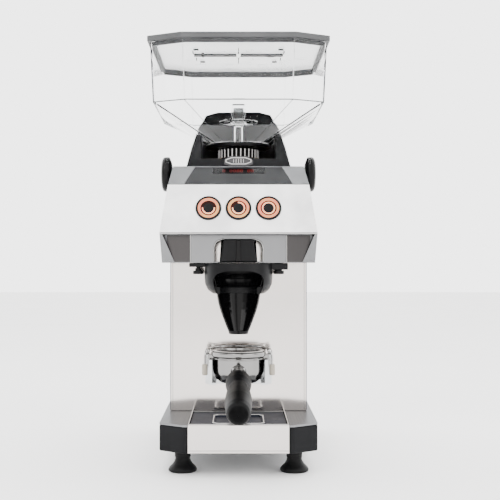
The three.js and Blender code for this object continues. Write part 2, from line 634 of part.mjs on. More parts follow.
// The dark moulding behind and beside the hopper: two low flanks and a crown at the rear.
function rearHood() {
  const foot = HEAD_TOP_Z + GAP;
  const cradle = hull(mirrored([
    [68, -15, foot], [80, 240, foot], [66, -13, foot + 6], [57, 24, 434], [72, 200, 438], [73, 240, 438],
  ]));
  const crown = hull(mirrored([
    [73, 212, 430], [73, 240, 430], [66, 214, 462], [66, 240, 462], [59, 216, 466], [59, 240, 466],
    [50, 220, 490], [50, 240, 490], [32, 221, 495], [32, 238, 495],
  ]));
  const hollow = hull(mirrored([
    [64, -8, foot - 2], [76, 236, foot - 2], [53, 28, 430], [68, 200, 434], [69, 236, 434],
  ]));
  const crownHollow = hull(mirrored([[68, 216, 426], [68, 236, 426], [46, 224, 484], [46, 236, 484]]));
  const liner = disc(56, 0, [foot, 432], 0, BURR_Y, 2 * FINE);
  const well = disc(53, 0, [foot - 3, 450], 0, BURR_Y, 2 * FINE);
  const front = block([-50, 50], [-30, BURR_Y], [398, 450]);
  const frontFloor = block([-52, 52], [-5, 40], [395, 398]);
  const innerWalls = [-51, 51].map((x) => block([x - 1, x + 1], [-5, BURR_Y], [foot, 450]).intersect(cradle));
  const body = join(
    cut(join(cradle, crown), hollow, crownHollow), liner.intersect(cradle), frontFloor, ...innerWalls,
  );
  return cut(body, well, front, hopperClearance());
}

// Room for the hopper's funnel above the moulding.
function hopperClearance() {
  return hopperForm(-1.5);
}

const CATCH = [[-19, 389], [-12, 387.3], [12, 387.3], [19, 389], [19, 395], [12, 400], [-12, 400], [-19, 395]];

piece("head_shell", headShell(), BRUSHED);
piece("underside_panel", undersidePanel(), PLAIN_STEEL);
piece("front_panel", frontPanel(), PANEL_WHITE);
piece("display_deck", displayDeck(), GREY_PLASTIC);
piece("display_window", displayWindow(), DARK_GLASS);
piece("rear_hood", rearHood(), GREY_PLASTIC);
piece("hopper_catch", sweptY(CATCH, [-20.4, -18.4]), CHROME);

const panelFrame = new THREE.Group();
panelFrame.position.set(0, VISOR_Y, VISOR_Z);
panelFrame.rotation.x = -PANEL_TILT;
grinder.add(panelFrame);
["left", "middle", "right"].forEach((place, i) => {
  const button = piece(`button_${place}`, doseButton(), BLACK_PLASTIC, panelFrame);
  button.position.set((i - 1) * BUTTON_PITCH, 0, BUTTON_UP);
});

// ---- Spout -------------------------------------------------------------------------------------------
const SPOUT_TOP = SKIRT_Z - GAP;
const SPOUT_DEPTH = 0.85; // the spout is a little flatter front to back than wide
const EAR_Z = [254.5, SPOUT_TOP];

// The rounded housing under the head, with two ears for its thumb screws and a mouth at the front.
function spoutCollar() {
  const shell = turned([
    [25.4, 221], [33, 222.5], [39, 227], [42.6, 234], [43.5, 242], [43.5, SPOUT_TOP], [40, SPOUT_TOP],
    [40, 243], [38.5, 236], [34.5, 231], [30, 230], [25.4, 230], [25.4, 221],
  ], 0, 0, FINE, SPOUT_DEPTH);
  const ears = [-1, 1].map((side) => {
    return block([side * 63, side * 41].sort((a, b) => a - b), [-8, 8], EAR_Z);
  });
  const earHoles = [-SCREW_X, SCREW_X].map((x) => disc(3.2, 0, [250, 262], x, 0, 20));
  const mouth = sweptY([
    [-23, 229], [23, 229], [26.5, 240], [22, 248], [12, 252], [-12, 252], [-22, 248], [-26.5, 240],
  ], [-60, -12]);
  return cut(join(shell, ...ears), ...earHoles, mouth);
}

// The tapering scoop that carries the grounds down, open at the front.
function spoutFunnel() {
  const outer = [[26, 254], [25.8, 240], [24.3, 231], [22.3, 221], [18.5, 194], [12.5, 176], [9.2, 169.5]];
  const inner = outer.map(([r, z]) => [r - 2, z]).reverse();
  const shell = turned([...outer, ...inner, outer[0]], 0, 0, FINE, SPOUT_DEPTH);
  const openFront = hull(mirrored([
    [22, -60, 256], [24, -60, 240], [20, -60, 221], [16, -60, 194], [9, -60, 176],
    [22, -10, 256], [24, -10, 240], [20, -9, 221], [16, -7, 194], [9, -5, 176],
  ]));
  return cut(shell, openFront);
}

function thumbScrew() {
  return turned([[0, 246.5], [6.5, 246.5], [6.5, 251], [4, 251], [4, 254.2], [2.6, 254.2], [2.6, 264], [0, 264]]);
}

piece("spout_collar", spoutCollar(), BLACK_PLASTIC).position.y = SPOUT_Y;
piece("spout_funnel", spoutFunnel(), DARK_GLASS).position.y = SPOUT_Y;
piece("thumb_screw_left", thumbScrew(), BLACK_PLASTIC).position.set(-SCREW_X, SPOUT_Y, 0);
piece("thumb_screw_right", thumbScrew(), BLACK_PLASTIC).position.set(SCREW_X, SPOUT_Y, 0);

// ---- Portafilter rest --------------------------------------------------------------------------------
const ARM_IN = 33.4;
const ARM_OUT = 37;
const ARM_TOP = 138.5;
const ARM_BOTTOM = 107;
const ARM_FRONT = -60;

function portafilterFork() {
  const plate = block([-44, 44], [COLUMN_Y - 3.3, COLUMN_Y - GAP], [100, 140]);
  const arms = [-1, 1].flatMap((side) => [
    block([side * ARM_IN, side * ARM_OUT].sort((a, b) => a - b), [ARM_FRONT, COLUMN_Y - 2], [ARM_BOTTOM, ARM_TOP]),
    block([side * 28.5, side * (ARM_IN + 1)].sort((a, b) => a - b), [ARM_FRONT, COLUMN_Y - 2],
      [ARM_BOTTOM, ARM_BOTTOM + 2.5]),
  ]);
  return cut(join(plate, ...arms), rod("y", 5.6, [0, 12], [0, DOSE_Z]));
}

// The wire clip round the back of the portafilter's rim; its two ends carry sleeves.
function retainingBail() {
  const rightHalf = [
    [43, -44, 117], [43, -43.5, 126], [43, -43, 135], [42.5, -41, 145], [40.5, -34, 149.5], [36, -22, 150.5],
    [22, -7, 151],
  ];
  const leftHalf = rightHalf.map(([x, y, z]) => [-x, y, z]);
  const spring = wire([...leftHalf, [0, -2, 151], ...[...rightHalf].reverse()], 1.4, 8, 34);
  const sleeves = [-1, 1].map((side) => disc(3.6, 0, [117.5, 131.5], side * 43, -43.7, 20));
  return join(spring, ...sleeves);
}

const plungerTip = -6;
const doseSwitch = join(
  rod("y", 5, [plungerTip, COLUMN_Y + 8], [0, DOSE_Z], 24),
  rod("y", 9, [COLUMN_Y + 7, COLUMN_Y + 12], [0, DOSE_Z], 24),
);

piece("portafilter_fork", portafilterFork(), CHROME);
piece("retaining_bail", retainingBail(), CHROME);
piece("dose_switch", doseSwitch, BLACK_PLASTIC);

// ---- Portafilter -------------------------------------------------------------------------------------
const NECK_Z = 124; // where the handle's axis meets the bowl
const NECK_Y = -31;
const HANDLE_REACH = 242; // how far in front of the origin the handle ends
const HANDLE_END = (HANDLE_REACH + SPOUT_Y + NECK_Y) / Math.cos(HANDLE_DROP);

// Places a piece turned about the handle's own axis, which starts at the bowl and falls to the front.
const onHandle = (shape) => shape.rotate([90, 0, 0]).rotate([(HANDLE_DROP * 180) / Math.PI, 0, 0])
  .translate([0, NECK_Y, NECK_Z]);

function portafilterBody() {
  const shell = turned([
    [0, 107], [16, 107], [24, 109.5], [30, 115], [BOWL_R, 123], [BOWL_R, 141], [RIM_R, 142.5], [RIM_R, RIM_Z],
    [31, RIM_Z], [30.4, 146], [30.4, 124], [27, 117], [20, 112], [0, 111],
  ], 0, 0, FINE);
  const lugs = [-1, 1].map((side) => {
    return block([side * 30.8, side * 39].sort((a, b) => a - b), [-7, 7], [139, 145]);
  });
  const neck = onHandle(turned([[0, 0], [9, 0], [7, 10], [7, 32], [0, 32]], 0, 0, 28));
  const drain = disc(4, 0, [98, 108], 0, 0, 24);
  const drainHole = disc(2.4, 0, [97, 113], 0, 0, 24);
  const bowl = cut(join(shell, ...lugs, drain), drainHole);
  return join(bowl, neck);
}

function filterBasket() {
  return turned([
    [0, 121], [25, 121], [29.4, 125], [29.4, RIM_Z + GAP], [33.5, RIM_Z + GAP], [33.5, RIM_Z + 1.5],
    [28.2, RIM_Z + 1.5], [28.2, 126], [24.5, 122.4], [0, 122.4],
  ], 0, 0, FINE);
}

function portafilterHandle() {
  return onHandle(turned([
    [7.4, 32.5], [12, 33], [15.2, 38], [15.6, 44], [14.8, 50], [13.4, 54], [13.8, 62], [15, 85], [15.3, 108],
    [14.9, HANDLE_END - 40], [14, HANDLE_END - 19], [11.5, HANDLE_END - 8], [7, HANDLE_END - 2],
    [0, HANDLE_END], [0, 60], [7.4, 60], [7.4, 32.5],
  ], 0, 0, ROUND));
}

for (const [name, shape, material] of [
  ["portafilter_body", portafilterBody(), CHROME],
  ["portafilter_basket", filterBasket(), PLAIN_STEEL],
  ["portafilter_handle", portafilterHandle(), BLACK_PLASTIC],
]) {
  piece(name, shape, material).position.y = SPOUT_Y;
}

// ---- Hopper ------------------------------------------------------------------------------------------
function hopper() {
  const shell = cut(hopperForm(0), hopperForm(HOPPER_WALL));
  const spigot = disc(SPIGOT_R, 0, [422.6, FUNNEL_Z + 1], 0, BURR_Y, FINE);
  const bowl = disc(SPIGOT_R - HOPPER_WALL, 0, [425, FUNNEL_Z + 4], 0, BURR_Y, FINE);
  const shelf = disc(FUNNEL_R - 0.8, SPIGOT_R - HOPPER_WALL, [FUNNEL_Z, FUNNEL_Z + 2], 0, BURR_Y, FINE);
  const gateHole = disc(21, 0, [420, 430], 0, BURR_Y, FINE);
  const arms = around(3, BURR_Y, () => block([7, 23], [BURR_Y - 1.5, BURR_Y + 1.5], [422.6, 425]));
  const guide = disc(9, 6.5, [419, 425], 0, BURR_Y);
  return join(cut(join(shell, shelf, spigot), bowl, gateHole), ...arms, guide);
}

// The cup that the hopper's spigot stands in, on a narrower waist.
function hopperCollar() {
  return turned([
    [THROAT_R, 388.6], [27, 388.6], [27, 412], [41, 418.5], [45.5, 421], [45.5, 426.4], [SPIGOT_R + GAP, 426.4],
    [SPIGOT_R + GAP, 422.3], [38, 419], [THROAT_R + 1, 411], [THROAT_R, 388.6],
  ], 0, BURR_Y, FINE);
}

function hopperLid() {
  const plate = raised(octagon(LID_HALF, LID_CHAMFER, BURR_Y), [HOPPER_TOP + GAP, LID_TOP]);
  const lipHalf = HOPPER_TOP_HALF.map((h) => h - HOPPER_WALL - 0.8);
  const lip = raised(octagon(lipHalf, HOPPER_CHAMFER, BURR_Y), [545.5, HOPPER_TOP + 2]);
  const inside = raised(octagon(lipHalf.map((h) => h - 2), HOPPER_CHAMFER, BURR_Y), [545, 553]);
  return cut(join(plate, lip), inside);
}

// The gate: a disc that closes the hopper's mouth when its clear knob is pushed down.
function gatePlunger() {
  const stem = turned([
    [0, 418], [6, 418], [6, 455], [12, 457], [27, 459], [27, 461], [12, 461], [7, 463], [0, 463],
  ], 0, BURR_Y);
  const knob = sweptY([[-8, 462], [8, 462], [10, 472], [9, 485], [-9, 485], [-10, 472]], [BURR_Y - 6, BURR_Y + 6]);
  return join(stem, knob);
}

piece("hopper", hopper(), CLEAR);
piece("hopper_collar", hopperCollar(), CHROME);
piece("hopper_lid", hopperLid(), CLEAR);
piece("gate_plunger", gatePlunger(), CLEAR);

export default grinder;
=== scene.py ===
"""Looks of the burr coffee grinder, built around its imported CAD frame.

Metres, +Z up, front towards -Y. Profiles and outlines are in millimetres and scaled by MM.
"""

import json
import math

import bmesh
import bpy
from mathutils import Matrix, Vector


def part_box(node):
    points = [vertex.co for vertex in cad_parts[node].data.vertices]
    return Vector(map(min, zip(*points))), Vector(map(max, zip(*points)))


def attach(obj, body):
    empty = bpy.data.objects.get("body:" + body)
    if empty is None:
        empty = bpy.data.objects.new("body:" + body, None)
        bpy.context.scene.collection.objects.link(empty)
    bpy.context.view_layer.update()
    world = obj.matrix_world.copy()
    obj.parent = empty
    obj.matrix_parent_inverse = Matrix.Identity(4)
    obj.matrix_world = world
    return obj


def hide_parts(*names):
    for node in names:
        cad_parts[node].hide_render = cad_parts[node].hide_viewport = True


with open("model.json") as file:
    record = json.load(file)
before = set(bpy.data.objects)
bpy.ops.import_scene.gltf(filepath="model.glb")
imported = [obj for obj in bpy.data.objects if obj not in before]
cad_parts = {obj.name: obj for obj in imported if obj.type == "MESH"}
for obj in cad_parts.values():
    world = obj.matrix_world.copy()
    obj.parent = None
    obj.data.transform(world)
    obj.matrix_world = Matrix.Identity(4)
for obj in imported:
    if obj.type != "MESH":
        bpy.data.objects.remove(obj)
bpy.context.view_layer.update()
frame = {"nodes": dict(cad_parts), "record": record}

MM = 0.001
FINE = 96  # sides of a large turned piece
ROUND = 48  # sides of a small one

BODY_OF = {node: body for body, nodes in frame["record"]["behaviour"]["bodies"].items() for node in nodes}


def middle(node):
    """The centre of a node's box."""
    low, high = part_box(node)
    return (low + high) / 2


SPOUT = Vector((0, middle("portafilter_basket").y, 0))  # vertical axis of spout and portafilter
BURR = Vector((0, middle("hopper_collar").y, 0))  # vertical axis of burrs and hopper


# ---- Materials ---------------------------------------------------------------------------------------
def node_tree(name):
    """A new material: its nodes, its links and its Principled shader."""
    material = bpy.data.materials.new(name)
    material.use_nodes = True
    tree = material.node_tree
    shader = tree.nodes["Principled BSDF"]
    return material, tree, shader


def noise(tree, scale, detail=3.0, stretch=(1, 1, 1)):
    """Noise over the piece's own coordinates, drawn out along an axis by stretch."""
    coordinates = tree.nodes.new("ShaderNodeTexCoord")
    mapping = tree.nodes.new("ShaderNodeMapping")
    mapping.inputs["Scale"].default_value = stretch
    texture = tree.nodes.new("ShaderNodeTexNoise")
    texture.inputs["Scale"].default_value = scale
    texture.inputs["Detail"].default_value = detail
    tree.links.new(coordinates.outputs["Object"], mapping.inputs["Vector"])
    tree.links.new(mapping.outputs["Vector"], texture.inputs["Vector"])
    return texture.outputs["Fac"]


def ramp(tree, value, low, high, start=0.35, end=0.65):
    """A colour or grey between low and high, steered by value."""
    node = tree.nodes.new("ShaderNodeValToRGB")
    node.color_ramp.elements[0].position = start
    node.color_ramp.elements[0].color = (*low, 1)
    node.color_ramp.elements[1].position = end
    node.color_ramp.elements[1].color = (*high, 1)
    tree.links.new(value, node.inputs["Fac"])
    return node.outputs["Color"]


def span(tree, value, low, high):
    """value, from 0 to 1, mapped to low to high."""
    node = tree.nodes.new("ShaderNodeMapRange")
    node.inputs["To Min"].default_value = low
    node.inputs["To Max"].default_value = high
    tree.links.new(value, node.inputs["Value"])
    return node.outputs["Result"]


def bump(tree, shader, height, strength, distance):
    """Relief from height on the shader's surface."""
    node = tree.nodes.new("ShaderNodeBump")
    node.inputs["Strength"].default_value = strength
    node.inputs["Distance"].default_value = distance
    tree.links.new(height, node.inputs["Height"])
    tree.links.new(node.outputs["Normal"], shader.inputs["Normal"])


def shade(colour, factor):
    """The colour made lighter or darker by factor."""
    return tuple(min(1.0, c * factor) for c in colour)


def metal(name, colour, roughness, brushed=None, variation=0.06, bump_strength=0.0, edge=1.0):
    """Bare metal with faint clouding; brushed is the direction of its grain, as a stretch of the noise."""
    material, tree, shader = node_tree(name)
    shader.inputs["Metallic"].default_value = 1.0
    shader.inputs["Specular Tint"].default_value = (edge, edge, edge, 1)
    clouds = noise(tree, 14, 4)
    tone = ramp(tree, clouds, shade(colour, 1 - variation), shade(colour, 1 + variation))
    tree.links.new(tone, shader.inputs["Base Color"])
    if brushed:
        grain = noise(tree, 1.0, 4, brushed)
        tree.links.new(span(tree, grain, roughness * 0.75, roughness * 1.3), shader.inputs["Roughness"])
        bump(tree, shader, grain, 0.25, 0.00008)
    else:
        smears = noise(tree, 45, 5)
        tree.links.new(span(tree, smears, roughness * 0.7, roughness * 1.4), shader.inputs["Roughness"])
        if bump_strength:
            bump(tree, shader, noise(tree, 9, 2), bump_strength, 0.0006)
    return material


def plastic(name, colour, roughness, grain=900.0, depth=0.00006, coat=0.0, gloss=0.18):
    """Moulded plastic or rubber with a fine grain and slight wear in its sheen."""
    material, tree, shader = node_tree(name)
    clouds = noise(tree, 22, 4)
    tone = ramp(tree, clouds, shade(colour, 0.86), shade(colour, 1.16))
    tree.links.new(tone, shader.inputs["Base Color"])
    sheen = noise(tree, 60, 4)
    tree.links.new(span(tree, sheen, roughness * 0.8, roughness * 1.2), shader.inputs["Roughness"])
    shader.inputs["Specular IOR Level"].default_value = gloss
    shader.inputs["Coat Weight"].default_value = coat
    shader.inputs["Coat Roughness"].default_value = 0.08
    bump(tree, shader, noise(tree, grain, 2), 0.35, depth)
    return material


def clear(name, colour, roughness, ior=1.3):
    """Clear polycarbonate with faint handling haze."""
    material, tree, shader = node_tree(name)
    tone = ramp(tree, noise(tree, 18, 3), shade(colour, 0.985), colour)
    tree.links.new(tone, shader.inputs["Base Color"])
    haze = noise(tree, 40, 4)
    tree.links.new(span(tree, haze, roughness * 0.5, roughness * 1.5), shader.inputs["Roughness"])
    shader.inputs["Transmission Weight"].default_value = 1.0
    shader.inputs["IOR"].default_value = ior
    return material


def glow(name, low, high, strength):
    """A glowing surface whose colour wanders a little along it: the lit light guides and display, and the
    painted glow in the buttons' wells.
    """
    material, tree, shader = node_tree(name)
    tone = ramp(tree, noise(tree, 45, 2), low, high, 0.4, 0.6)
    dim = ramp(tree, noise(tree, 45, 2), shade(low, 0.12), shade(high, 0.12), 0.4, 0.6)
    tree.links.new(dim, shader.inputs["Base Color"])
    tree.links.new(tone, shader.inputs["Emission Color"])
    shader.inputs["Emission Strength"].default_value = strength
    shader.inputs["Roughness"].default_value = 0.4
    shader.inputs["Specular IOR Level"].default_value = 0.1
    return material


POLISHED = metal("polished_sheet", (0.66, 0.618, 0.59), 0.10, variation=0.015)
UNDER_STEEL = metal("shaded_sheet", (0.19, 0.192, 0.198), 0.20, brushed=(900, 900, 12), edge=0.4)
SHADE_STEEL = metal("shaded_side_plate", (0.055, 0.052, 0.052), 0.22, brushed=(900, 900, 12), edge=0.35)
BASE_STEEL = metal("base_strip", (0.20, 0.203, 0.21), 0.32, brushed=(900, 8, 900), edge=0.45)
CATCH_STEEL = metal("catch_plate", (0.06, 0.06, 0.062), 0.22, variation=0.05, edge=0.3)
CHROME = metal("bright_chrome", (0.42, 0.415, 0.41), 0.09, variation=0.03)
BRUSHED_X = metal("brushed_sheet_x", (0.30, 0.305, 0.31), 0.34, brushed=(6, 900, 900), edge=0.4)
BRUSHED_Y = metal("brushed_sheet_y", (0.21, 0.213, 0.218), 0.34, brushed=(900, 6, 900), edge=0.4)
BOWL_CHROME = metal("bowl_chrome", (0.22, 0.216, 0.212), 0.10, variation=0.04)
PLAIN_STEEL = metal("plain_steel", (0.56, 0.57, 0.58), 0.22, brushed=(60, 60, 500))
CAST = metal("cast_aluminium", (0.30, 0.31, 0.32), 0.55, bump_strength=0.5)
BRASS = metal("machined_brass", (0.62, 0.44, 0.17), 0.25, brushed=(50, 50, 900))
COPPER = metal("copper_winding", (0.58, 0.27, 0.15), 0.35, brushed=(200, 200, 900))
BURR_STEEL = metal("ground_tool_steel", (0.40, 0.41, 0.43), 0.25, brushed=(500, 500, 80))
CAN = metal("drawn_can", (0.70, 0.71, 0.72), 0.35, brushed=(500, 500, 20))
PANEL_WHITE = plastic(
    "panel_enamel", (0.86, 0.86, 0.87), 0.25, grain=500, depth=0.00002, coat=0.2, gloss=0.5
)
GREY_PLASTIC = plastic("dark_grey_moulding", (0.008, 0.0082, 0.009), 0.5, gloss=0.06)
# The lid rim's own grey, also used for the painted highlights along the scoop's edges.
RIM_GREY_AND_HIGHLIGHT = plastic("lid_rim_and_scoop_highlight", (0.07, 0.072, 0.074), 0.45)
BLACK_PLASTIC = plastic("satin_black_moulding", (0.0035, 0.0036, 0.004), 0.32, gloss=0.12)
HANDLE_BLACK = plastic("handle_satin", (0.002, 0.002, 0.0022), 0.38, gloss=0.03)
GLOSS_BLACK = plastic(
    "gloss_black_moulding", (0.0015, 0.0015, 0.0018), 0.14, grain=200, depth=0.00002, gloss=0.14
)
MAT_GREY = plastic("tray_mat_gloss", (0.018, 0.020, 0.028), 0.30, grain=120, depth=0.00003, gloss=0.004)
DECK_GREY = plastic("display_deck_moulding", (0.018, 0.0185, 0.02), 0.45, gloss=0.08)
RUBBER = plastic("foot_rubber", (0.004, 0.004, 0.0043), 0.5, grain=1400, gloss=0.12)
IVORY = plastic("ivory_sleeve", (0.34, 0.31, 0.26), 0.45)
BOARD = plastic("circuit_board", (0.03, 0.16, 0.08), 0.4, grain=300)
CLEAR = clear("clear_polycarbonate", (0.988, 0.99, 0.99), 0.02, ior=1.08)
CLEAR_SOLID = clear("clear_moulding", (0.96, 0.965, 0.965), 0.05, ior=1.32)
# Darker clear beads of painted shade along the hopper's outer edges, and a core of painted shade inside the
# gate's clear tab.
PAINTED_SHADE_CLEAR = clear("hopper_painted_shade", (0.16, 0.17, 0.175), 0.15, ior=1.2)
# Clear beads of painted highlight along the hopper's edges and the gate's rims.
PAINTED_HIGHLIGHT_CLEAR = clear("hopper_painted_highlight", (0.98, 0.98, 0.98), 0.05, ior=1.5)
LID_CLEAR = clear("lid_polycarbonate", (0.90, 0.905, 0.905), 0.22, ior=1.2)
RING_GLOW = glow("button_ring_glow", (1.0, 0.26, 0.17), (1.0, 0.46, 0.17), 1.9)
ARC_GLOW = glow("button_arc_glow", (1.0, 0.36, 0.22), (1.0, 0.52, 0.28), 3.3)
# A faint red glow painted into each button's dark well, standing in for the light of its lit ring.
PAINTED_WELL_GLOW = glow("button_well_painted_glow", (0.05, 0.005, 0.002), (0.10, 0.010, 0.004), 0.3)
DISPLAY_RED = glow("display_red", (0.35, 0.01, 0.01), (0.55, 0.02, 0.015), 0.35)

SLOT_MATERIAL = {
    "cast": CAST, "grey_plastic": GREY_PLASTIC, "brushed_steel": BRUSHED_Y, "rubber": RUBBER,
    "plain_steel": PLAIN_STEEL, "smoked_gloss": GLOSS_BLACK, "polished_steel": POLISHED,
    "black_plastic": BLACK_PLASTIC, "copper_winding": COPPER, "burr_steel": BURR_STEEL,
    "capacitor_case": CAN, "board_green": BOARD, "brass": BRASS, "panel_white": PANEL_WHITE,
    "chrome": CHROME, "clear_plastic": CLEAR,
}
SLOT_OF = {part["node"]: part["material_slot"] for part in frame["record"]["subparts"]}


# ---- Making pieces -----------------------------------------------------------------------------------
def settle(name, mesh, material, like, stands_for=True, sharp=32):
    """Turns a mesh into a piece that rides with the CAD node like, and stands for it."""
    mesh.shade_smooth()
    mesh.set_sharp_from_angle(angle=math.radians(sharp))
    mesh.materials.clear()
    mesh.materials.append(material)
    piece = bpy.data.objects.new(name, mesh)
    bpy.context.scene.collection.objects.link(piece)
    flat_faces = piece.modifiers.new("flat_faces", "WEIGHTED_NORMAL")
    flat_faces.keep_sharp = True
    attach(piece, BODY_OF[like])
    if stands_for:
        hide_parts(like)
    return piece


def to_mesh(shape):
    """A mesh from a bmesh, which is freed."""
    mesh = bpy.data.meshes.new("shape")
    shape.to_mesh(mesh)
    shape.free()
    return mesh


def bevelled(shape, width, segments=2, angle=28):
    """A mesh from a bmesh, with its hard edges rounded by width millimetres."""
    hard = math.radians(angle)
    edges = [e for e in shape.edges if len(e.link_faces) == 2 and e.calc_face_angle(0) > hard]
    if width > 0 and edges:
        bmesh.ops.bevel(shape, geom=edges, offset=width * MM, offset_type="OFFSET", segments=segments,
                        profile=0.5, affect="EDGES", clamp_overlap=True)
    return to_mesh(shape)


def refined(node, material=None, width=0.5, segments=2, name=None):
    """The CAD node's own form with rounded edges and a finished material."""
    shape = bmesh.new()
    shape.from_mesh(frame["nodes"][node].data)
    bmesh.ops.remove_doubles(shape, verts=shape.verts, dist=0.00002)
    bmesh.ops.dissolve_limit(shape, angle_limit=math.radians(1.0), verts=shape.verts, edges=shape.edges)
    mesh = bevelled(shape, width, segments)
    return settle(name or node + "_finished", mesh, material or SLOT_MATERIAL[SLOT_OF[node]], node)


def filleted(points, radius, steps=4):
    """The same open outline with its inner corners rounded by arcs of about the radius."""
    outline = [Vector(points[0])]
    for before, corner, after in zip(points, points[1:], points[2:]):
        corner = Vector(corner)
        back = Vector(before) - corner
        ahead = Vector(after) - corner
        reach = min(radius, back.length * 0.45, ahead.length * 0.45)
        if reach < 1e-6 or back.angle(-ahead, 0) < 0.05:
            outline.append(corner)
            continue
        start = corner + back.normalized() * reach
        end = corner + ahead.normalized() * reach
        for i in range(steps + 1):
            t = i / steps
            outline.append(start * (1 - t) ** 2 + corner * 2 * t * (1 - t) + end * t ** 2)
    outline.append(Vector(points[-1]))
    return outline


def turned(profile, origin, turn=Matrix(), sides=FINE, depth=1.0, fillet=0.6):
    """A bmesh turned about its own Z through a profile of (radius, height) millimetres.

    A profile that starts and ends on the axis is solid; any other is closed into a ring.
    """
    if profile[0][0] > 0:
        # A ring starts halfway along its last side, so that its first corner is rounded too.
        start = ((profile[0][0] + profile[-1][0]) / 2, (profile[0][1] + profile[-1][1]) / 2)
        profile = [start, *profile, start]
    points = filleted(profile, fillet)
    closed = points[0].x > 1e-6
    if closed:
        points = points[:-1]
    shape = bmesh.new()
    place = Matrix.Translation(origin) @ turn.to_4x4()
    rows = []
    for r, z in points:
        if r < 1e-6:
            rows.append([shape.verts.new(place @ (Vector((0, 0, z)) * MM))] * sides)
            continue
        angles = [2 * math.pi * i / sides for i in range(sides)]
        rows.append([
            shape.verts.new(place @ (Vector((r * math.cos(a), r * depth * math.sin(a), z)) * MM))
            for a in angles
        ])
    pairs = list(zip(rows, rows[1:])) + ([(rows[-1], rows[0])] if closed else [])
    for lower, upper in pairs:
        for i in range(sides):
            j = (i + 1) % sides
            corners = list(dict.fromkeys([lower[i], lower[j], upper[j], upper[i]]))
            if len(corners) > 2:
                shape.faces.new(corners)
    bmesh.ops.recalc_face_normals(shape, faces=shape.faces)
    return shape


def prism(outline, low, high, place, width=0.4, segments=2):
    """An outline in X and Y raised along Z from low to high, in millimetres, then placed and bevelled."""
    shape = bmesh.new()
    foot = [shape.verts.new(Vector((x, y, low)) * MM) for x, y in outline]
    top = [shape.verts.new(Vector((x, y, high)) * MM) for x, y in outline]
    shape.faces.new(foot)
    shape.faces.new(top)
    for i in range(len(outline)):
        j = (i + 1) % len(outline)
        shape.faces.new([foot[i], foot[j], top[j], top[i]])
    bmesh.ops.recalc_face_normals(shape, faces=shape.faces)
    bmesh.ops.transform(shape, matrix=place, verts=shape.verts)
    return bevelled(shape, width, segments)


def tube(points, radius, sides=16, closed=False):
    """A round wire of the given radius in millimetres through points in metres."""
    shape = bmesh.new()
    rows = []
    count = len(points)
    side_way = None
    for i, point in enumerate(points):
        ahead = points[(i + 1) % count] if closed else points[min(i + 1, count - 1)]
        behind = points[i - 1] if closed or i > 0 else points[0]
        along = (ahead - behind).normalized()
        if side_way is None:
            side_way = along.orthogonal().normalized()
        side_way = (side_way - along * side_way.dot(along)).normalized()
        other = along.cross(side_way)
        rows.append([
            shape.verts.new(point + (side_way * math.cos(a) + other * math.sin(a)) * radius * MM)
            for a in (2 * math.pi * k / sides for k in range(sides))
        ])
    pairs = list(zip(rows, rows[1:])) + ([(rows[-1], rows[0])] if closed else [])
    for lower, upper in pairs:
        for k in range(sides):
            m = (k + 1) % sides
            shape.faces.new([lower[k], lower[m], upper[m], upper[k]])
    if not closed:
        shape.faces.new(rows[0])
        shape.faces.new(rows[-1])
    bmesh.ops.recalc_face_normals(shape, faces=shape.faces)
    return shape


def smooth_path(points, steps=8):
    """Points along a Catmull-Rom curve through the given points."""
    controls = [points[0], *points, points[-1]]
    path = []
    for a, b, c, d in zip(controls, controls[1:], controls[2:], controls[3:]):
        for i in range(steps):
            t = i / steps
            path.append(0.5 * (2 * b + (c - a) * t + (2 * a - 5 * b + 4 * c - d) * t ** 2
                               + (3 * b - a - 3 * c + d) * t ** 3))
    path.append(points[-1])
    return path


def joined(*shapes):
    """One mesh holding several closed shapes."""
    mesh = bpy.data.meshes.new("shape")
    whole = bmesh.new()
    for shape in shapes:
        part = shape if isinstance(shape, bpy.types.Mesh) else to_mesh(shape)
        whole.from_mesh(part)
        bpy.data.meshes.remove(part)
    whole.to_mesh(mesh)
    whole.free()
    return mesh


# ---- Sheet metal, castings and flat mouldings --------------------------------------------------------
def flat_pieces():
    """Pieces whose CAD form is right: their edges are rounded and their finish is set."""
    for node, material, width in (
        ("base_casting", BASE_STEEL, 1.2),
        ("base_deck", BASE_STEEL, 0.5),
        ("corner_block_left", GREY_PLASTIC, 1.5),
        ("corner_block_right", GREY_PLASTIC, 1.5),
        ("drawer_tray", CHROME, 0.3),
        ("drawer_mat", MAT_GREY, 0.6),
        ("drawer_front", POLISHED, 0.6),
        ("column_front_panel", POLISHED, 0.5),
        ("side_panel_left", POLISHED, 0.4),
        ("side_panel_right", POLISHED, 0.4),
        ("rear_cover", BRUSHED_X, 0.4),
        ("power_inlet", BLACK_PLASTIC, 0.4),
        ("power_switch", BLACK_PLASTIC, 0.4),
        ("head_shell", BRUSHED_Y, 0.5),
        ("front_panel", PANEL_WHITE, 0.5),
        ("underside_panel", UNDER_STEEL, 0.4),
        ("display_deck", DECK_GREY, 0.4),
        ("display_window", GLOSS_BLACK, 0.3),
        ("rear_hood", GREY_PLASTIC, 1.2),
        ("hopper_catch", CATCH_STEEL, 0.5),
        ("portafilter_fork", PLAIN_STEEL, 0.6),
        ("exit_chute", GLOSS_BLACK, 1.2),
    ):
        refined(node, material, width)


# ---- Turned pieces -----------------------------------------------------------------------------------
def foot(node):
    """A rubber foot that flares to a round pad."""
    low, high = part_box(node)
    origin = Vector(((low.x + high.x) / 2, (low.y + high.y) / 2, low.z))
    profile = [
        (0, 0), (16.5, 0), (18, 1.2), (18, 3.4), (16.2, 6), (12.6, 9.4), (10, 13.5), (9.2, 17.5),
        (10, 18.5), (10, 28.1), (0, 28.1),
    ]
    settle(node + "_turned", to_mesh(turned(profile, origin, sides=64, fillet=1.4)), RUBBER, node)


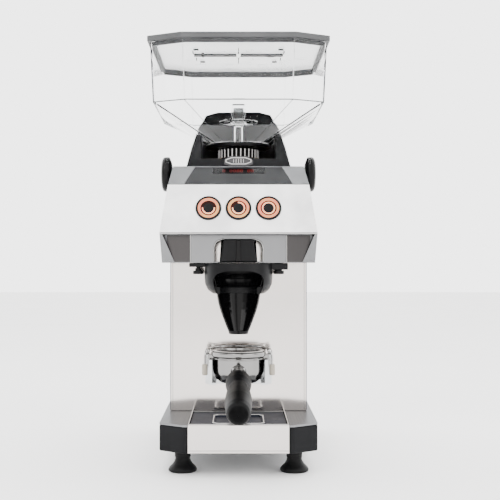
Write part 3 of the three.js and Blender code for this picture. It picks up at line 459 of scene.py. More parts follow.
def knob(node, side):
    """A setting knob, a rounded disc that faces out to its side of the head."""
    low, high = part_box(node)
    origin = Vector((0, (low.y + high.y) / 2, (low.z + high.z) / 2))
    turn = Matrix.Rotation(side * math.pi / 2, 3, "Y")
    profile = [
        (0, 89.2), (13, 89.2), (16.5, 90), (22.8, 92.6), (23.3, 94), (23.3, 98.6), (22.2, 101),
        (18.5, 102.8), (12, 103.5), (0, 103.6),
    ]
    settle(node + "_turned", to_mesh(turned(profile, origin, turn, fillet=1.0)), BLACK_PLASTIC, node)


def thumb_screw(node):
    """A thumb screw with a knurled head under its shank."""
    low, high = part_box(node)
    origin = Vector(((low.x + high.x) / 2, (low.y + high.y) / 2, low.z))
    profile = [(0, 0), (6.5, 0), (6.5, 4.5), (4, 4.5), (4, 7.7), (2.6, 7.7), (2.6, 17), (0, 17)]
    head = turned(profile, origin, sides=ROUND, fillet=0.5)
    rib_count = 18
    outline = [(6.1, -0.45), (6.75, -0.3), (6.75, 0.3), (6.1, 0.45)]
    ribs = []
    for i in range(rib_count):
        turn = Matrix.Translation(origin) @ Matrix.Rotation(2 * math.pi * i / rib_count, 4, "Z")
        ribs.append(prism(outline, 0.6, 3.9, turn, 0.12, 1))
    settle(node + "_knurled", joined(head, *ribs), BLACK_PLASTIC, node)


# ---- Buttons -----------------------------------------------------------------------------------------
PANEL_SLOPE = (22, 61)  # how far the front panel leans back over its height


def arc_ring(inner, outer, low, high, start, sweep, place, steps=56):
    """A flat ring, or an arc of one with round ends, standing up along Z before it is placed."""
    if sweep >= 360:
        whole = turned([(inner, low), (outer, low), (outer, high), (inner, high)], Vector(), fillet=0.15)
        bmesh.ops.transform(whole, matrix=place, verts=whole.verts)
        return to_mesh(whole)
    width = (outer - inner) / 2
    centre = (outer + inner) / 2
    outline = []
    for i in range(steps + 1):
        a = math.radians(start + sweep * i / steps)
        outline.append((outer * math.cos(a), outer * math.sin(a)))
    for a0, flip in ((start + sweep, 1), (start, -1)):
        a = math.radians(a0)
        tip = Vector((centre * math.cos(a), centre * math.sin(a)))
        for k in range(1, 6):
            b = a + (0 if flip > 0 else math.pi) + math.pi * k / 6
            outline.append((tip.x + width * math.cos(b), tip.y + width * math.sin(b)))
        if flip > 0:
            for i in range(steps + 1):
                a = math.radians(start + sweep * (1 - i / steps))
                outline.append((inner * math.cos(a), inner * math.sin(a)))
    return prism(outline, low, high, place, 0)


def button(node, start, sweep):
    """A push button: black cap, lit ring, dark well and a lit arc, in a black bezel on the panel."""
    low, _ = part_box("front_panel")
    tilt = math.atan2(*PANEL_SLOPE)
    cap_low, cap_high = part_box(node)
    # The face's centre lies on the button's axis, which runs square to the tilted panel.
    out = Vector((0, -math.cos(tilt), math.sin(tilt)))
    up = Vector((0, math.sin(tilt), math.cos(tilt)))
    corner = Vector((0, low.y, low.z + 2 * math.sin(tilt) * MM))
    face = corner + up * 32 * MM + Vector(((cap_low.x + cap_high.x) / 2, 0, 0))
    axes = Matrix((Vector((1, 0, 0)), up, out)).transposed().to_4x4()
    place = Matrix.Translation(face) @ axes
    turn = axes.to_3x3()

    def turned_here(profile, fillet=0.2):
        return to_mesh(turned(profile, face, turn, fillet=fillet))

    bezel = turned_here([(13.4, 0.3), (15.3, 0.3), (16.2, 0.1), (16.2, 1.1), (15.4, 2), (13.4, 1.9)])
    settle(node + "_bezel", bezel, BLACK_PLASTIC, "front_panel", stands_for=False)
    cap = turned_here([(0, -14), (5, -14), (5, -4), (15.3, -4), (15.3, 0.25), (0, 0.25)])
    settle(node + "_cap", cap, BLACK_PLASTIC, node)
    ring = turned_here([(10.1, 0.3), (13.3, 0.3), (13.3, 1.5), (12.7, 1.8), (10.7, 1.8), (10.1, 1.5)], 0.4)
    settle(node + "_ring", ring, RING_GLOW, node, stands_for=False)
    # The well's faint red glow is painted light from the ring.
    well = turned_here([(0, 0.2), (9.9, 0.2), (9.9, 0.8), (0, 0.6)], 0.1)
    settle(node + "_well", well, PAINTED_WELL_GLOW, node, stands_for=False)
    hub = turned_here([(0, 0.5), (6.1, 0.5), (6.1, 1.1), (5.4, 1.35), (0, 1.45)], 0.3)
    settle(node + "_hub", hub, GLOSS_BLACK, node, stands_for=False)
    arc = arc_ring(6.7, 8.2, 0.5, 1.25, start, sweep, place)
    settle(node + "_arc", arc, ARC_GLOW, node, stands_for=False)


# ---- Spout -------------------------------------------------------------------------------------------
SPOUT_DEPTH = 0.85  # the spout is flatter front to back than it is wide


def cut_by(mesh, *cutters):
    """The mesh with the cutter meshes taken out of it."""
    target = bpy.data.objects.new("target", mesh)
    bpy.context.scene.collection.objects.link(target)
    tools = []
    for cutter in cutters:
        tool = bpy.data.objects.new("cutter", cutter)
        bpy.context.scene.collection.objects.link(tool)
        tools.append(tool)
        modifier = target.modifiers.new("cut", "BOOLEAN")
        modifier.operation = "DIFFERENCE"
        modifier.solver = "EXACT"
        modifier.object = tool
    bpy.context.view_layer.update()
    result = bpy.data.meshes.new_from_object(target.evaluated_get(bpy.context.evaluated_depsgraph_get()))
    for obj in [target, *tools]:
        bpy.data.objects.remove(obj)
    return result


def upright(outline, front, back, place, width=0.0):
    """An outline in X and Z swept along Y from front to back, in millimetres."""
    turn = place @ Matrix.Rotation(math.pi / 2, 4, "X")
    return prism(outline, -back, -front, turn, width)


def arch_outline(points, fillet, steps=8):
    """A closed outline with all its corners but the first rounded."""
    closed = [*points, points[0]]
    return [tuple(p) for p in filleted(closed, fillet, steps)[:-1]]


def spout_collar():
    """The cup round the scoop's top, open at the front, with an ear for each thumb screw."""
    top = 260.7
    place = Matrix.Translation(SPOUT)
    profile = [
        (25.4, 221), (33, 222), (39.2, 226.6), (42.8, 234), (43.5, 242), (43.5, top), (40, top),
        (40, 243), (38.4, 236), (34.5, 231.5), (30, 230), (25.4, 230),
    ]
    arch = [
        (-27, 218), (27, 218), (31, 231), (32, 240), (28, 246.5), (16, 250.5), (-16, 250.5),
        (-28, 246.5), (-32, 240), (-31, 231),
    ]
    mouth = upright(arch_outline(arch, 5), -60, -8, place)
    cup = cut_by(to_mesh(turned(profile, SPOUT, depth=SPOUT_DEPTH, fillet=2.0)), mouth)
    ears = []
    for side, thick in ((-1, 5.0), (1, 8.5)):
        x0, x1 = sorted((side * 63, side * 41.5))
        ears.append(prism([(x0, -8), (x1, -8), (x1, 8), (x0, 8)], top - thick, top, place, 1.2, 3))
    settle("spout_collar_moulding", joined(cup, *ears), BLACK_PLASTIC, "spout_collar")


def spout_scoop():
    """The tapering scoop, open to the front, with a grey line along each edge of its opening as a painted
    highlight.
    """
    place = Matrix.Translation(SPOUT)
    outer = [
        (33, 246), (32.4, 240), (30.2, 231), (28.2, 222), (26, 210), (23.2, 200), (19.6, 190),
        (15.8, 180), (13.2, 174), (12.2, 170),
    ]
    inner = [(r - 1.9, z) for r, z in reversed(outer)]
    scoop = to_mesh(turned(outer + inner, SPOUT, depth=SPOUT_DEPTH, fillet=1.0))
    # The open front follows the scoop's own taper down to a closed lip.
    edges = [(outer_r - 1.6, z) for outer_r, z in outer[:-1]]
    outline = [(-r, z) for r, z in edges] + [(r, z) for r, z in reversed(edges)]
    outline = [(-edges[0][0], 262), *outline, (edges[0][0], 262)]
    opening = upright(outline, -60, -4, place)
    settle("spout_scoop", cut_by(scoop, opening), GLOSS_BLACK, "spout_funnel")
    # Grey lines along the opening's edges are painted highlights of its glossy bevels.
    beads = []
    for side in (-1, 1):
        line = [SPOUT + Vector((side * (r - 0.8), -4.3, z)) * MM for r, z in outer[:-1]]
        beads.append(tube(smooth_path(line), 0.55, 10))
    settle("scoop_edge_highlights", joined(*beads), RIM_GREY_AND_HIGHLIGHT, "spout_funnel", stands_for=False)


# ---- Trims -------------------------------------------------------------------------------------------
def chute():
    """The shroud of the exit chute, wider towards its foot, with a rib down its middle."""
    low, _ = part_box("exit_chute")
    face = Matrix.Translation(Vector((0, low.y, 0)))
    outline = [(-23.5, 261.6), (23.5, 261.6), (21.5, 272), (18.5, 291), (-18.5, 291), (-21.5, 272)]
    shroud = upright(outline, -7, -0.2, face, 2.2)
    settle("chute_shroud", shroud, BLACK_PLASTIC, "exit_chute", stands_for=False)
    rib = upright([(-3.4, 262.5), (3.4, 262.5), (2.6, 289), (-2.6, 289)], -9, -6.6, face, 0.9)
    settle("chute_rib", rib, GLOSS_BLACK, "exit_chute", stands_for=False)


def underside_trim():
    """The arch's bright edge, and to either side of it a darker plate of painted shade with a bright fold.
    """
    panel_low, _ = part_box("underside_panel")
    corner = [(31, 262.5), (31, 272), (31, 281), (27.5, 288), (20, 291), (19, 291)]
    edges = []
    for side in (-1, 1):
        path = smooth_path([Vector((side * x * MM, panel_low.y, z * MM)) for x, z in corner])
        edges.append(tube(path, 0.9))
    settle("arch_edge", joined(*edges), CHROME, "underside_panel", stands_for=False)
    plates = []
    folds = []
    front = Matrix.Translation(Vector((0, panel_low.y, 0)))
    for side in (-1, 1):
        outline = [(side * 61, 262), (side * 91, 262), (side * 91, 296), (side * 61, 296)]
        plates.append(upright(outline, -1.6, -0.6, front, 0.3))
        ends = [Vector((side * 61 * MM, panel_low.y - 0.0016, z * MM)) for z in (262, 296)]
        folds.append(tube(ends, 0.7))
    # The dark plates are painted shade beside the arch.
    settle("underside_shade_plates", joined(*plates), SHADE_STEEL, "underside_panel", stands_for=False)
    settle("underside_folds", joined(*folds), CHROME, "underside_panel", stands_for=False)


def catch_boss():
    """A raised rim and five upright ribs on the hopper's catch plate."""
    low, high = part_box("hopper_catch")
    place = Matrix.Translation(Vector((0, low.y, (low.z + high.z) / 2)))
    half_x, half_z = high.x / MM - 2.2, (high.z - low.z) / 2 / MM - 1.8
    outer = octagon(half_x, half_z, half_x * 0.45, half_z * 0.6)
    inner = octagon(half_x - 1.1, half_z - 1.0, half_x * 0.42, half_z * 0.5)
    rim = cut_by(upright(outer, -1.4, 0.2, place), upright(inner, -3, 3, place))
    settle("catch_rim", rim, CHROME, "hopper_catch", stands_for=False)
    bars = []
    for x, reach in ((-6.4, 0.5), (-3.2, 0.62), (0, 0.68), (3.2, 0.62), (6.4, 0.5)):
        tall = half_z * reach
        outline = [(x - 0.5, -tall), (x + 0.5, -tall), (x + 0.5, tall), (x - 0.5, tall)]
        bars.append(upright(outline, -0.7, 0.1, place, 0.3))
    settle("catch_ribs", joined(*bars), CHROME, "hopper_catch", stands_for=False)


def column_hem_shade():
    """The folded edges of the column's sheet, where front and side panels meet, as thin darker lines of
    painted shade.
    """
    low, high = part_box("column_front_panel")
    dark = []
    light = []
    for side in (-1, 1):
        for shapes, inset, radius in ((dark, 0.5, 0.5), (light, 3.4, 0.28)):
            x = side * (high.x - inset * MM)
            ends = [Vector((x, low.y, z)) for z in (low.z + 0.001, high.z - 0.001)]
            shapes.append(tube(ends, radius, 10))
    # Both sets of lines are painted shade along the folds.
    settle("column_hem_shade", joined(*dark), SHADE_STEEL, "column_front_panel", stands_for=False)
    settle("column_crease_shade", joined(*light), UNDER_STEEL, "column_front_panel", stands_for=False)


def tray_trim():
    """The bright rim of the tray, the outline on its mat and, along the foot of its front, a thin darker
    line of painted shade at the fold.
    """
    low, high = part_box("drawer_tray")
    x = high.x - 0.0008
    z = high.z + 0.0002
    back = high.y - 0.001
    front = low.y + 0.001
    corners = [Vector((-x, back, z)), Vector((-x, front, z)), Vector((x, front, z)), Vector((x, back, z))]
    rails = [tube([a, b], 0.75, 12) for a, b in zip(corners, corners[1:])]
    settle("tray_rim", joined(*rails), CHROME, "drawer_tray", stands_for=False)
    mat_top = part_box("drawer_mat")[1].z
    relief_y = -54
    relief = octagon(31.5, 33.5, 5, 5)
    outline = [Vector((px, relief_y + py, 0)) * MM + Vector((0, 0, mat_top)) for px, py in relief]
    line = to_mesh(tube(outline, 0.9, 12, closed=True))
    settle("tray_relief", line, CHROME, "drawer_mat", stands_for=False)
    # The fold is drawn as a thin darker line: painted shade.
    front_low, front_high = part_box("drawer_front")
    fold_z = front_low.z + 0.0032
    ends = [Vector((side * (front_high.x - 0.0006), front_low.y, fold_z)) for side in (-1, 1)]
    fold = to_mesh(tube(ends, 0.3, 10))
    settle("drawer_front_fold_shade", fold, UNDER_STEEL, "drawer_front", stands_for=False)


def visor_lip():
    """The bright rolled edge under the front panel."""
    low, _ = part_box("front_panel")
    ends = [Vector((side * 97.3 * MM, low.y + 0.0012, low.z - 0.0009)) for side in (-1, 1)]
    settle("visor_lip", to_mesh(tube(ends, 0.9)), CHROME, "head_shell", stands_for=False)


def display():
    """Generic, faintly lit red segments on the display window, with two places left blank."""
    low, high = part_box("display_window")
    slope = Matrix.Rotation(math.atan2(high.z - low.z, high.y - low.y) * 0.93, 4, "X")
    place = Matrix.Translation((low + high) / 2 + Vector((0, 0, 0.9)) * MM) @ slope
    blanks = (1, 6)
    bars = []

    def bar(x, y, half_x, half_y):
        outline = [(x - half_x, y - half_y), (x + half_x, y - half_y)]
        outline += [(x + half_x, y + half_y), (x - half_x, y + half_y)]
        bars.append(prism(outline, 0.02, 0.22, place, 0))

    for i in range(9):
        x = -19 + 4.6 * i
        if i in blanks:
            continue
        for y in (-3.2, 0, 3.2):
            bar(x, y, 1.2, 0.3)
        for side in (-1, 1):
            bar(x + side * 1.45, 0, 0.25, 3)
    settle("display_segments", joined(*bars), DISPLAY_RED, "display_window", stands_for=False)


# ---- Portafilter -------------------------------------------------------------------------------------
HANDLE_DROP = math.radians(9.5)  # how steeply the handle falls to the front
NECK = Vector((0, -31, 124)) * MM  # where its axis leaves the bowl, from the spout's axis


def handle_frame():
    """The handle's start and the turn that carries Z onto its axis."""
    turn = Matrix.Rotation(HANDLE_DROP, 3, "X") @ Matrix.Rotation(math.pi / 2, 3, "X")
    return SPOUT + NECK, turn


def portafilter_bowl():
    """The bowl with its two lugs, its drain below and the neck that the handle screws onto."""
    bowl = turned([
        (0, 107), (15, 107), (23, 108.8), (29, 113.5), (32.2, 121), (32.6, 126), (32.6, 141), (35, 142.6),
        (35, 147.9), (31.2, 147.9), (30.4, 146), (30.4, 124), (27, 117), (20, 112), (0, 111),
    ], SPOUT, fillet=1.6)
    band = turned([(32.4, 138.2), (33.1, 138.5), (33.1, 139.6), (32.4, 139.9)], SPOUT, fillet=0.3)
    shapes = [bowl, band]
    place = Matrix.Translation(SPOUT)
    for side in (-1, 1):
        x0, x1 = sorted((side * 31.2, side * 39))
        shapes.append(prism([(x0, -7), (x1, -7), (x1, 7), (x0, 7)], 139, 145, place, 1.2, 3))
    drain = turned([(4.4, 98), (5.6, 98), (5.6, 108.5), (4.4, 108.5)], SPOUT, sides=ROUND, fillet=0.4)
    shapes.append(drain)
    neck_origin, turn = handle_frame()
    neck = [
        (0, -0.5), (10.5, 0.5), (8.4, 5), (7.2, 11), (7.2, 30), (8.6, 31), (8.6, 32.3), (0, 32.3),
    ]
    shapes.append(turned(neck, neck_origin, turn, sides=64, fillet=1.2))
    settle("portafilter_bowl", joined(*shapes), BOWL_CHROME, "portafilter_body")


def filter_basket():
    """The drawn basket with its bead, and the four rings of holes in its floor."""
    basket = turned([
        (0, 121.2), (25, 121.2), (28.6, 123.4), (29.3, 127), (29.3, 148.4), (33.4, 148.4), (33.4, 149.5),
        (28.4, 149.5), (28.1, 146), (28.1, 127), (24.5, 122.4), (0, 122.4),
    ], SPOUT, fillet=0.8)
    bead = turned([(28.6, 136.6), (29.7, 137.2), (29.7, 138.2), (28.6, 138.8)], SPOUT, fillet=0.3)
    settle("filter_basket_drawn", joined(basket, bead), BOWL_CHROME, "portafilter_basket")
    hole = [(0, 122.3), (0.55, 122.3), (0.55, 122.48), (0, 122.48)]
    holes = []
    for radius, count in ((6, 6), (11, 12), (16, 18), (21, 24)):
        for i in range(count):
            a = 2 * math.pi * i / count
            spot = SPOUT + Vector((radius * math.cos(a), radius * math.sin(a), 0)) * MM
            holes.append(turned(hole, spot, sides=10, fillet=0))
    settle(
        "filter_basket_holes", joined(*holes), GLOSS_BLACK, "portafilter_basket", stands_for=False,
    )


def handle():
    """The grip, which ends just inside the CAD handle's front."""
    neck_origin, turn = handle_frame()
    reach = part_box("portafilter_handle")[0].y - neck_origin.y
    clearance = 1.2
    end = reach / turn.col[2].y / MM - clearance
    grip = turned([
        (7.6, 32.6), (11, 32.8), (13.8, 36), (15.5, 42), (15.6, 50), (14.8, 58), (13.2, 65), (12.1, 70),
        (12.1, 73), (12.9, 80), (14.2, 92), (15.2, 108), (15.5, 125), (15.0, end - 34),
        (14.4, end - 20), (13.2, end - 10.5), (10.6, end - 4.2), (6, end - 0.9), (0, end), (0, 60),
        (7.6, 60),
    ], neck_origin, turn, fillet=2.0)
    bmesh.ops.remove_doubles(grip, verts=grip.verts, dist=1e-7)
    settle("handle_grip", to_mesh(grip), HANDLE_BLACK, "portafilter_handle")


def bail():
    """The wire clip behind the rim, with its coiled eyes and two ivory sleeves."""
    half = [
        (43, -44, 117.3), (43, -43.5, 126), (43, -43, 135), (42.5, -41, 145), (40.5, -34, 149.5),
        (36, -22, 150.5), (22, -7, 151),
    ]
    points = [(-x, y, z) for x, y, z in half] + [(0, -2, 151)] + list(reversed(half))
    path = smooth_path([Vector(p) * MM for p in points])
    shapes = [tube(path, 1.4)]
    for side in (-1, 1):
        loop = []
        for i in range(44):
            a = 2 * math.pi * i / 20
            x = side * (41.6 - 0.09 * i)
            loop.append(Vector((x, -39 + 3.4 * math.cos(a), 147.2 + 3.4 * math.sin(a))) * MM)
        shapes.append(tube(loop, 0.9, sides=10))
    settle("bail_wire", joined(*shapes), CHROME, "retaining_bail")
    sleeves = []
    for side in (-1, 1):
        origin = Vector((side * 43, -43.7, 0)) * MM
        profile = [(1.5, 117.5), (3.2, 117.5), (3.7, 118.6), (3.7, 130.2), (3.2, 131.4), (1.5, 131.4)]
        sleeves.append(turned(profile, origin, sides=32, fillet=0.4))
    settle(
        "bail_sleeves", joined(*sleeves), IVORY, "retaining_bail", stands_for=False
    )


# ---- Hopper ------------------------------------------------------------------------------------------
def octagon(half_x, half_y, cut_x, cut_y):
    """The corners of a rectangle about the origin whose own corners are cut off."""
    right = [
        (half_x - cut_x, half_y), (half_x, half_y - cut_y), (half_x, cut_y - half_y),
        (half_x - cut_x, -half_y),
    ]
    return right + [(-x, -y) for x, y in right]


def on_octagon(corners, angle):
    """Where the ray at an angle from the middle meets an octagon."""
    ray = Vector((math.cos(angle), math.sin(angle)))
    best = None
    for a, b in zip(corners, corners[1:] + corners[:1]):
        a, b = Vector(a), Vector(b)
        edge = b - a
        across = ray.x * edge.y - ray.y * edge.x
        if abs(across) < 1e-9:
            continue
        reach = (a.x * edge.y - a.y * edge.x) / across
        along = (a.x * ray.y - a.y * ray.x) / across
        if reach > 0 and -1e-6 <= along <= 1 + 1e-6:
            best = reach if best is None else min(best, reach)
    return ray * best


def loft(levels, origin, angles):
    """A skin through levels, each a function from angle to point and a height; the last meets the first."""
    shape = bmesh.new()
    rows = []
    for level, z in levels:
        rows.append([shape.verts.new(origin + Vector((*level(a), z)) * MM) for a in angles])
    for lower, upper in zip(rows, rows[1:] + rows[:1]):
        for i in range(len(angles)):
            j = (i + 1) % len(angles)
            shape.faces.new([lower[i], lower[j], upper[j], upper[i]])
    bmesh.ops.recalc_face_normals(shape, faces=shape.faces)
    return shape


def flat(corners):
    """A loft level along an octagon."""
    return lambda angle: on_octagon(corners, angle)


def ring(radius):
    """A loft level along a circle."""
    return lambda angle: Vector((radius * math.cos(angle), radius * math.sin(angle)))


def hopper_angles(corners, between=6):
    """Angles that pass through each corner, with even steps between them."""
    marks = sorted(math.atan2(y, x) % (2 * math.pi) for x, y in corners)
    angles = []
    for a, b in zip(marks, marks[1:] + [marks[0] + 2 * math.pi]):
        angles += [a + (b - a) * i / between for i in range(between)]
    return angles


KNEE = 472  # height at which the hopper's walls turn inwards


def hopper():
    """The clear hopper, a guide for its gate, and thin beads along its edges: light ones are painted
    highlights, dark ones painted shade.
    """
    low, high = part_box("hopper")
    top_x, top_y = high.x / MM, (high.y - low.y) / 2 / MM
    top = octagon(top_x, top_y, 43, 22)
    knee = octagon(top_x - 3.5, top_y - 3.5, 42, 22)
    wall = 2.5
    top_in = octagon(top_x - wall, top_y - wall, 42.4, 21.4)
    knee_in = octagon(top_x - 3.5 - wall, top_y - 3.5 - wall, 41.4, 21.4)
    angles = hopper_angles(knee)
    z_top = high.z / MM
    shell = loft([
        (ring(45), 427), (flat(knee), KNEE), (flat(top), z_top), (flat(top_in), z_top),
        (flat(knee_in), KNEE + 1.2), (ring(42.5), 428.6), (ring(37.7), 428.6), (ring(37.7), 425),
        (ring(21), 425), (ring(21), 422.6), (ring(40.2), 422.6), (ring(40.2), 427),
    ], BURR, angles)
    settle("hopper_shell", bevelled(shell, 0.7, 2, 12), CLEAR, "hopper", sharp=20)

    def corner(x, y, z):
        inset = 0.7  # the beads sit just inside the walls' outer corners
        return BURR + Vector((x - math.copysign(inset, x), y - math.copysign(inset, y), z)) * MM

    # Lines of painted shade along the knee, the outer corners and the edges' feet; lines of painted
    # highlight along the front corners.
    knee_line = [corner(x, y, KNEE) for x, y in knee]
    dark = [tube(knee_line, 0.75, 10, closed=True)]
    bright = []
    for (kx, ky), (tx, ty) in zip(knee, top):
        ends = [corner(kx, ky, KNEE + 0.6), corner(tx, ty, z_top - 1)]
        (bright if abs(kx) < top_x - 10 else dark).append(tube(ends, 0.55, 10))
        a = math.atan2(ky, kx)
        foot_point = BURR + Vector((43.6 * math.cos(a), 43.6 * math.sin(a), 428.6)) * MM
        dark.append(tube([foot_point, corner(kx, ky, KNEE - 0.6)], 0.4, 10))
    spider = [turned([(6.8, 419.2), (9, 419.2), (9, 425), (6.8, 425)], BURR, sides=ROUND, fillet=0.4)]
    for i in range(3):
        turn = Matrix.Translation(BURR) @ Matrix.Rotation(2 * math.pi * i / 3, 4, "Z")
        spider.append(prism([(8, -1.5), (22, -1.5), (22, 1.5), (8, 1.5)], 422.7, 424.9, turn, 0.4))
    settle("hopper_gate_guide", joined(*spider), CLEAR_SOLID, "hopper", stands_for=False)
    settle("hopper_edge_shade", joined(*dark), PAINTED_SHADE_CLEAR, "hopper", stands_for=False)
    # Rings of painted highlight round the funnel's rims.
    for radius, z in ((44.4, 427.6), (39, 424.4), (21.6, 424.6)):
        bright.append(tube(circle(radius, z), 0.4, 8, closed=True))
    settle("hopper_edge_highlights", joined(*bright), PAINTED_HIGHLIGHT_CLEAR, "hopper", stands_for=False)


def lid():
    """The lid: a clear pane in a moulded rim, with dark slots and marks under it."""
    low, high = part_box("hopper_lid")
    half_x, half_y = high.x / MM, (high.y - low.y) / 2 / MM
    place = Matrix.Translation(BURR)
    plate = octagon(half_x - 1.5, half_y - 1.5, 44, 22.5)
    z_top = high.z / MM
    settle("lid_pane", prism(plate, z_top - 4.6, z_top - 1.6, place, 0.5), LID_CLEAR, "hopper_lid")
    outline = octagon(half_x, half_y, 45, 23)
    step = octagon(half_x - 3.4, half_y - 3.4, 44, 22.4)
    lip = octagon(half_x - 6.8, half_y - 6.8, 43, 22)
    hole = octagon(half_x - 9.0, half_y - 9.0, 42, 21)
    angles = hopper_angles(outline, 1)
    rim = loft([
        (flat(outline), z_top - 7), (flat(outline), z_top), (flat(step), z_top),
        (flat(step), z_top - 1.2), (flat(hole), z_top - 1.2), (flat(hole), z_top - 12),
        (flat(lip), z_top - 12), (flat(lip), z_top - 7),
    ], BURR, angles)
    edge = bevelled(rim, 0.5, 2, 12)
    settle("lid_rim", edge, RIM_GREY_AND_HIGHLIGHT, "hopper_lid", stands_for=False)
    # Each mark has its middle in X and Y, then half its width and half its depth.
    marks = [
        (0, -46, 0.7, 3), (0, -24, 0.7, 5), (0, 18, 0.7, 5), (0, 38, 0.7, 3), (-50, -10, 1.6, 11),
        (46, -2, 5, 3),
    ]
    for side in (-1, 1):
        marks += [(side * 32.7, -8, 29.8, 6), (side * 60, 18, 0.7, 5), (side * 63, -26, 0.7, 6)]
        marks += [(side * 58, -44, 3.5, 1.6), (side * 52, 36, 3.5, 1.6)]
    details = []
    for x, y, half_width, half_depth in marks:
        spot = place @ Matrix.Translation(Vector((x, y, 0)) * MM)
        mark = octagon(half_width, half_depth, 0.3, 0.3)
        details.append(prism(mark, z_top - 6.2, z_top - 4.4, spot, 0.15, 1))
    settle(
        "lid_slots", joined(*details), BLACK_PLASTIC, "hopper_lid", stands_for=False
    )


def circle(radius, z, steps=72):
    """Points of a level circle about the burrs' axis."""
    angles = [2 * math.pi * i / steps for i in range(steps)]
    return [BURR + Vector((radius * math.cos(a), radius * math.sin(a), z)) * MM for a in angles]


def gate():
    """The gate's stem and disc, with a clear tab on top to push it by."""
    stem = turned([
        (0, 418), (5, 418), (6, 419), (6, 453), (7.5, 456), (12, 457.4), (24, 458.6), (27, 459.4),
        (27, 460.6), (24, 460.4), (12, 460.2), (7.5, 461.4), (6, 463), (0, 463),
    ], BURR, fillet=0.8)
    place = Matrix.Translation(BURR)
    tab = upright([(-8, 462), (8, 462), (10, 472), (9, 484.9), (-9, 484.9), (-10, 472)], -6, 6, place, 1.4)
    settle("gate_stem", to_mesh(stem), CLEAR_SOLID, "gate_plunger")
    settle("gate_tab", tab, CLEAR_SOLID, "gate_plunger", stands_for=False)
    # A darker core of painted shade inside the clear tab.
    core = upright([(-6, 464), (6, 464), (7.5, 472), (7, 479), (-7, 479), (-7.5, 472)], -4, 4, place, 0.8)
    settle("gate_tab_shade_core", core, PAINTED_SHADE_CLEAR, "gate_plunger", stands_for=False)
    rings = []
    for radius, z in ((26.6, 460), (20, 460.4), (7.4, 455.6)):
        rings.append(tube(circle(radius, z), 0.35, 8, closed=True))
    settle("gate_highlights", joined(*rings), PAINTED_HIGHLIGHT_CLEAR, "gate_plunger", stands_for=False)


def collar():
    """The black collar under the hopper, with bright flutes round its neck."""
    cup = turned([
        (22, 388.7), (25, 388.7), (25, 409), (27, 418), (32, 420.4), (45.4, 421.8), (45.5, 426.3),
        (42.4, 426.3), (40.6, 425.6), (40.6, 422.6), (30, 421.4), (24, 418), (22, 409.5),
    ], BURR, fillet=0.8)
    settle("collar_cup", to_mesh(cup), BLACK_PLASTIC, "hopper_collar")
    flute_count = 30
    outline = [(24.6, -1.6), (29.4, -1.2), (30, 0), (29.4, 1.2), (24.6, 1.6)]
    flutes = []
    for i in range(flute_count):
        turn = Matrix.Translation(BURR) @ Matrix.Rotation(2 * math.pi * i / flute_count, 4, "Z")
        flutes.append(prism(outline, 407, 420.6, turn, 0.6, 3))
    settle("collar_flutes", joined(*flutes), CHROME, "hopper_collar", stands_for=False)


# ---- Stage, light and camera -------------------------------------------------------------------------
SENSOR = 36  # mm across
FOCAL = 1.9 * SENSOR
CAMERA_HEIGHT = 0.262
CAMERA_BACK = 1.258  # in front of the origin
FLOOR_SIZE = 14
WORLD_STRENGTH = 4.0


def studio_floor():
    """A pale floor just under the feet."""
    bpy.ops.mesh.primitive_plane_add(size=FLOOR_SIZE, location=(0, 0, -0.0002))
    floor = bpy.context.object
    floor.name = "studio_floor"
    material, tree, shader = node_tree("studio_floor")
    tone = ramp(tree, noise(tree, 3, 2), (0.95, 0.95, 0.95), (0.97, 0.97, 0.97))
    tree.links.new(tone, shader.inputs["Base Color"])
    shader.inputs["Roughness"].default_value = 0.7
    floor.data.materials.append(material)


def studio_world():
    """An even white room; behind the camera it is dimmer, with dark flags that bare metal picks up."""
    world = bpy.data.worlds.new("studio")
    world.use_nodes = True
    bpy.context.scene.world = world
    tree = world.node_tree
    direction = tree.nodes.new("ShaderNodeTexCoord")
    axes = tree.nodes.new("ShaderNodeSeparateXYZ")
    tree.links.new(direction.outputs["Generated"], axes.inputs["Vector"])
    front = ramp(tree, half_range(tree, axes.outputs["Y"]), (1, 1, 1), (0, 0, 0), 0.42, 0.56)
    flags = tree.nodes.new("ShaderNodeValToRGB")
    stops = (
        (0.0, 0.2), (0.04, 0.2), (0.07, 0.36), (0.29, 0.32), (0.33, 0.8), (0.55, 0.8),
        (0.59, 0.22), (0.63, 0.22), (0.67, 0.85), (0.92, 0.9), (0.96, 0.15), (1.0, 0.2),
    )
    elements = flags.color_ramp.elements
    for i, (position, grey) in enumerate(stops):
        element = elements[i] if i < 2 else elements.new(position)
        element.position = position
        element.color = (grey, grey * 0.985, grey * 0.97, 1)
    tree.links.new(half_range(tree, axes.outputs["X"]), flags.inputs["Fac"])
    mix = tree.nodes.new("ShaderNodeMix")
    mix.data_type = "RGBA"
    tree.links.new(front, mix.inputs["Factor"])
    mix.inputs["A"].default_value = (1, 1, 1, 1)
    tree.links.new(flags.outputs["Color"], mix.inputs["B"])
    background = tree.nodes["Background"]
    tree.links.new(mix.outputs["Result"], background.inputs["Color"])
    background.inputs["Strength"].default_value = WORLD_STRENGTH


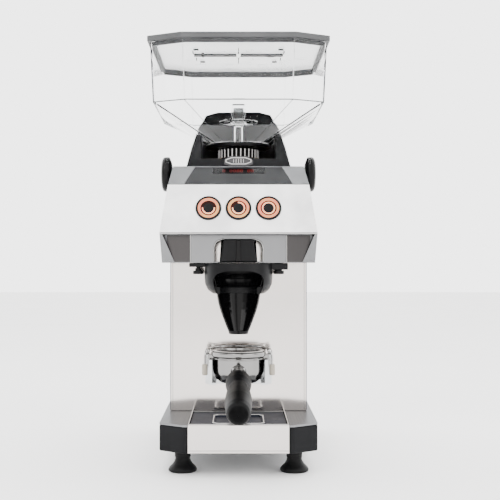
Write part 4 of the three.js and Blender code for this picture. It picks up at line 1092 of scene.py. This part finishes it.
def half_range(tree, value):
    """A direction's component, from -1 to 1, moved into 0 to 1."""
    node = tree.nodes.new("ShaderNodeMapRange")
    node.inputs["From Min"].default_value = -1
    tree.links.new(value, node.inputs["Value"])
    return node.outputs["Result"]


def area_light(name, place, target, size, power):
    """A rectangular light at place, turned to face target."""
    data = bpy.data.lights.new(name, "AREA")
    data.shape = "RECTANGLE"
    data.size, data.size_y = size
    data.energy = power
    light = bpy.data.objects.new(name, data)
    light.location = place
    light.rotation_euler = (Vector(target) - Vector(place)).to_track_quat("-Z", "Y").to_euler()
    bpy.context.scene.collection.objects.link(light)


def camera():
    """A level camera in front of the machine, shifted a little to frame it."""
    data = bpy.data.cameras.new("camera")
    data.lens = FOCAL
    data.sensor_width = SENSOR
    data.shift_x = 0.023
    data.shift_y = 0.024
    view = bpy.data.objects.new("camera", data)
    view.location = (0, -CAMERA_BACK, CAMERA_HEIGHT)
    view.rotation_euler = (math.pi / 2, 0, 0)
    bpy.context.scene.collection.objects.link(view)
    bpy.context.scene.camera = view


def inner_nodes():
    """Every CAD node that still shows gets its slot's finished material."""
    for node, obj in frame["nodes"].items():
        obj.data.materials.clear()
        obj.data.materials.append(SLOT_MATERIAL[SLOT_OF[node]])


camera()
studio_floor()
studio_world()
area_light("key", (-1.2, -1.6, 1.9), (0, 0, 0.3), (1.4, 1.4), 28)
area_light("fill", (1.6, -1.2, 1.1), (0, 0, 0.3), (1.2, 1.6), 12)
area_light("top", (0, 0.2, 2.2), (0, 0, 0.3), (1.6, 1.2), 16)

inner_nodes()
flat_pieces()
for end in ("front", "rear"):
    for side in ("left", "right"):
        foot(f"foot_{end}_{side}")
knob("setting_knob_left", -1)
knob("setting_knob_right", 1)
thumb_screw("thumb_screw_left")
thumb_screw("thumb_screw_right")
button("button_left", 180, 180)
button("button_middle", 180, 270)
button("button_right", 0, 360)
spout_collar()
spout_scoop()
chute()
underside_trim()
visor_lip()
catch_boss()
column_hem_shade()
tray_trim()
display()
portafilter_bowl()
filter_basket()
handle()
bail()
hopper()
lid()
gate()
collar()
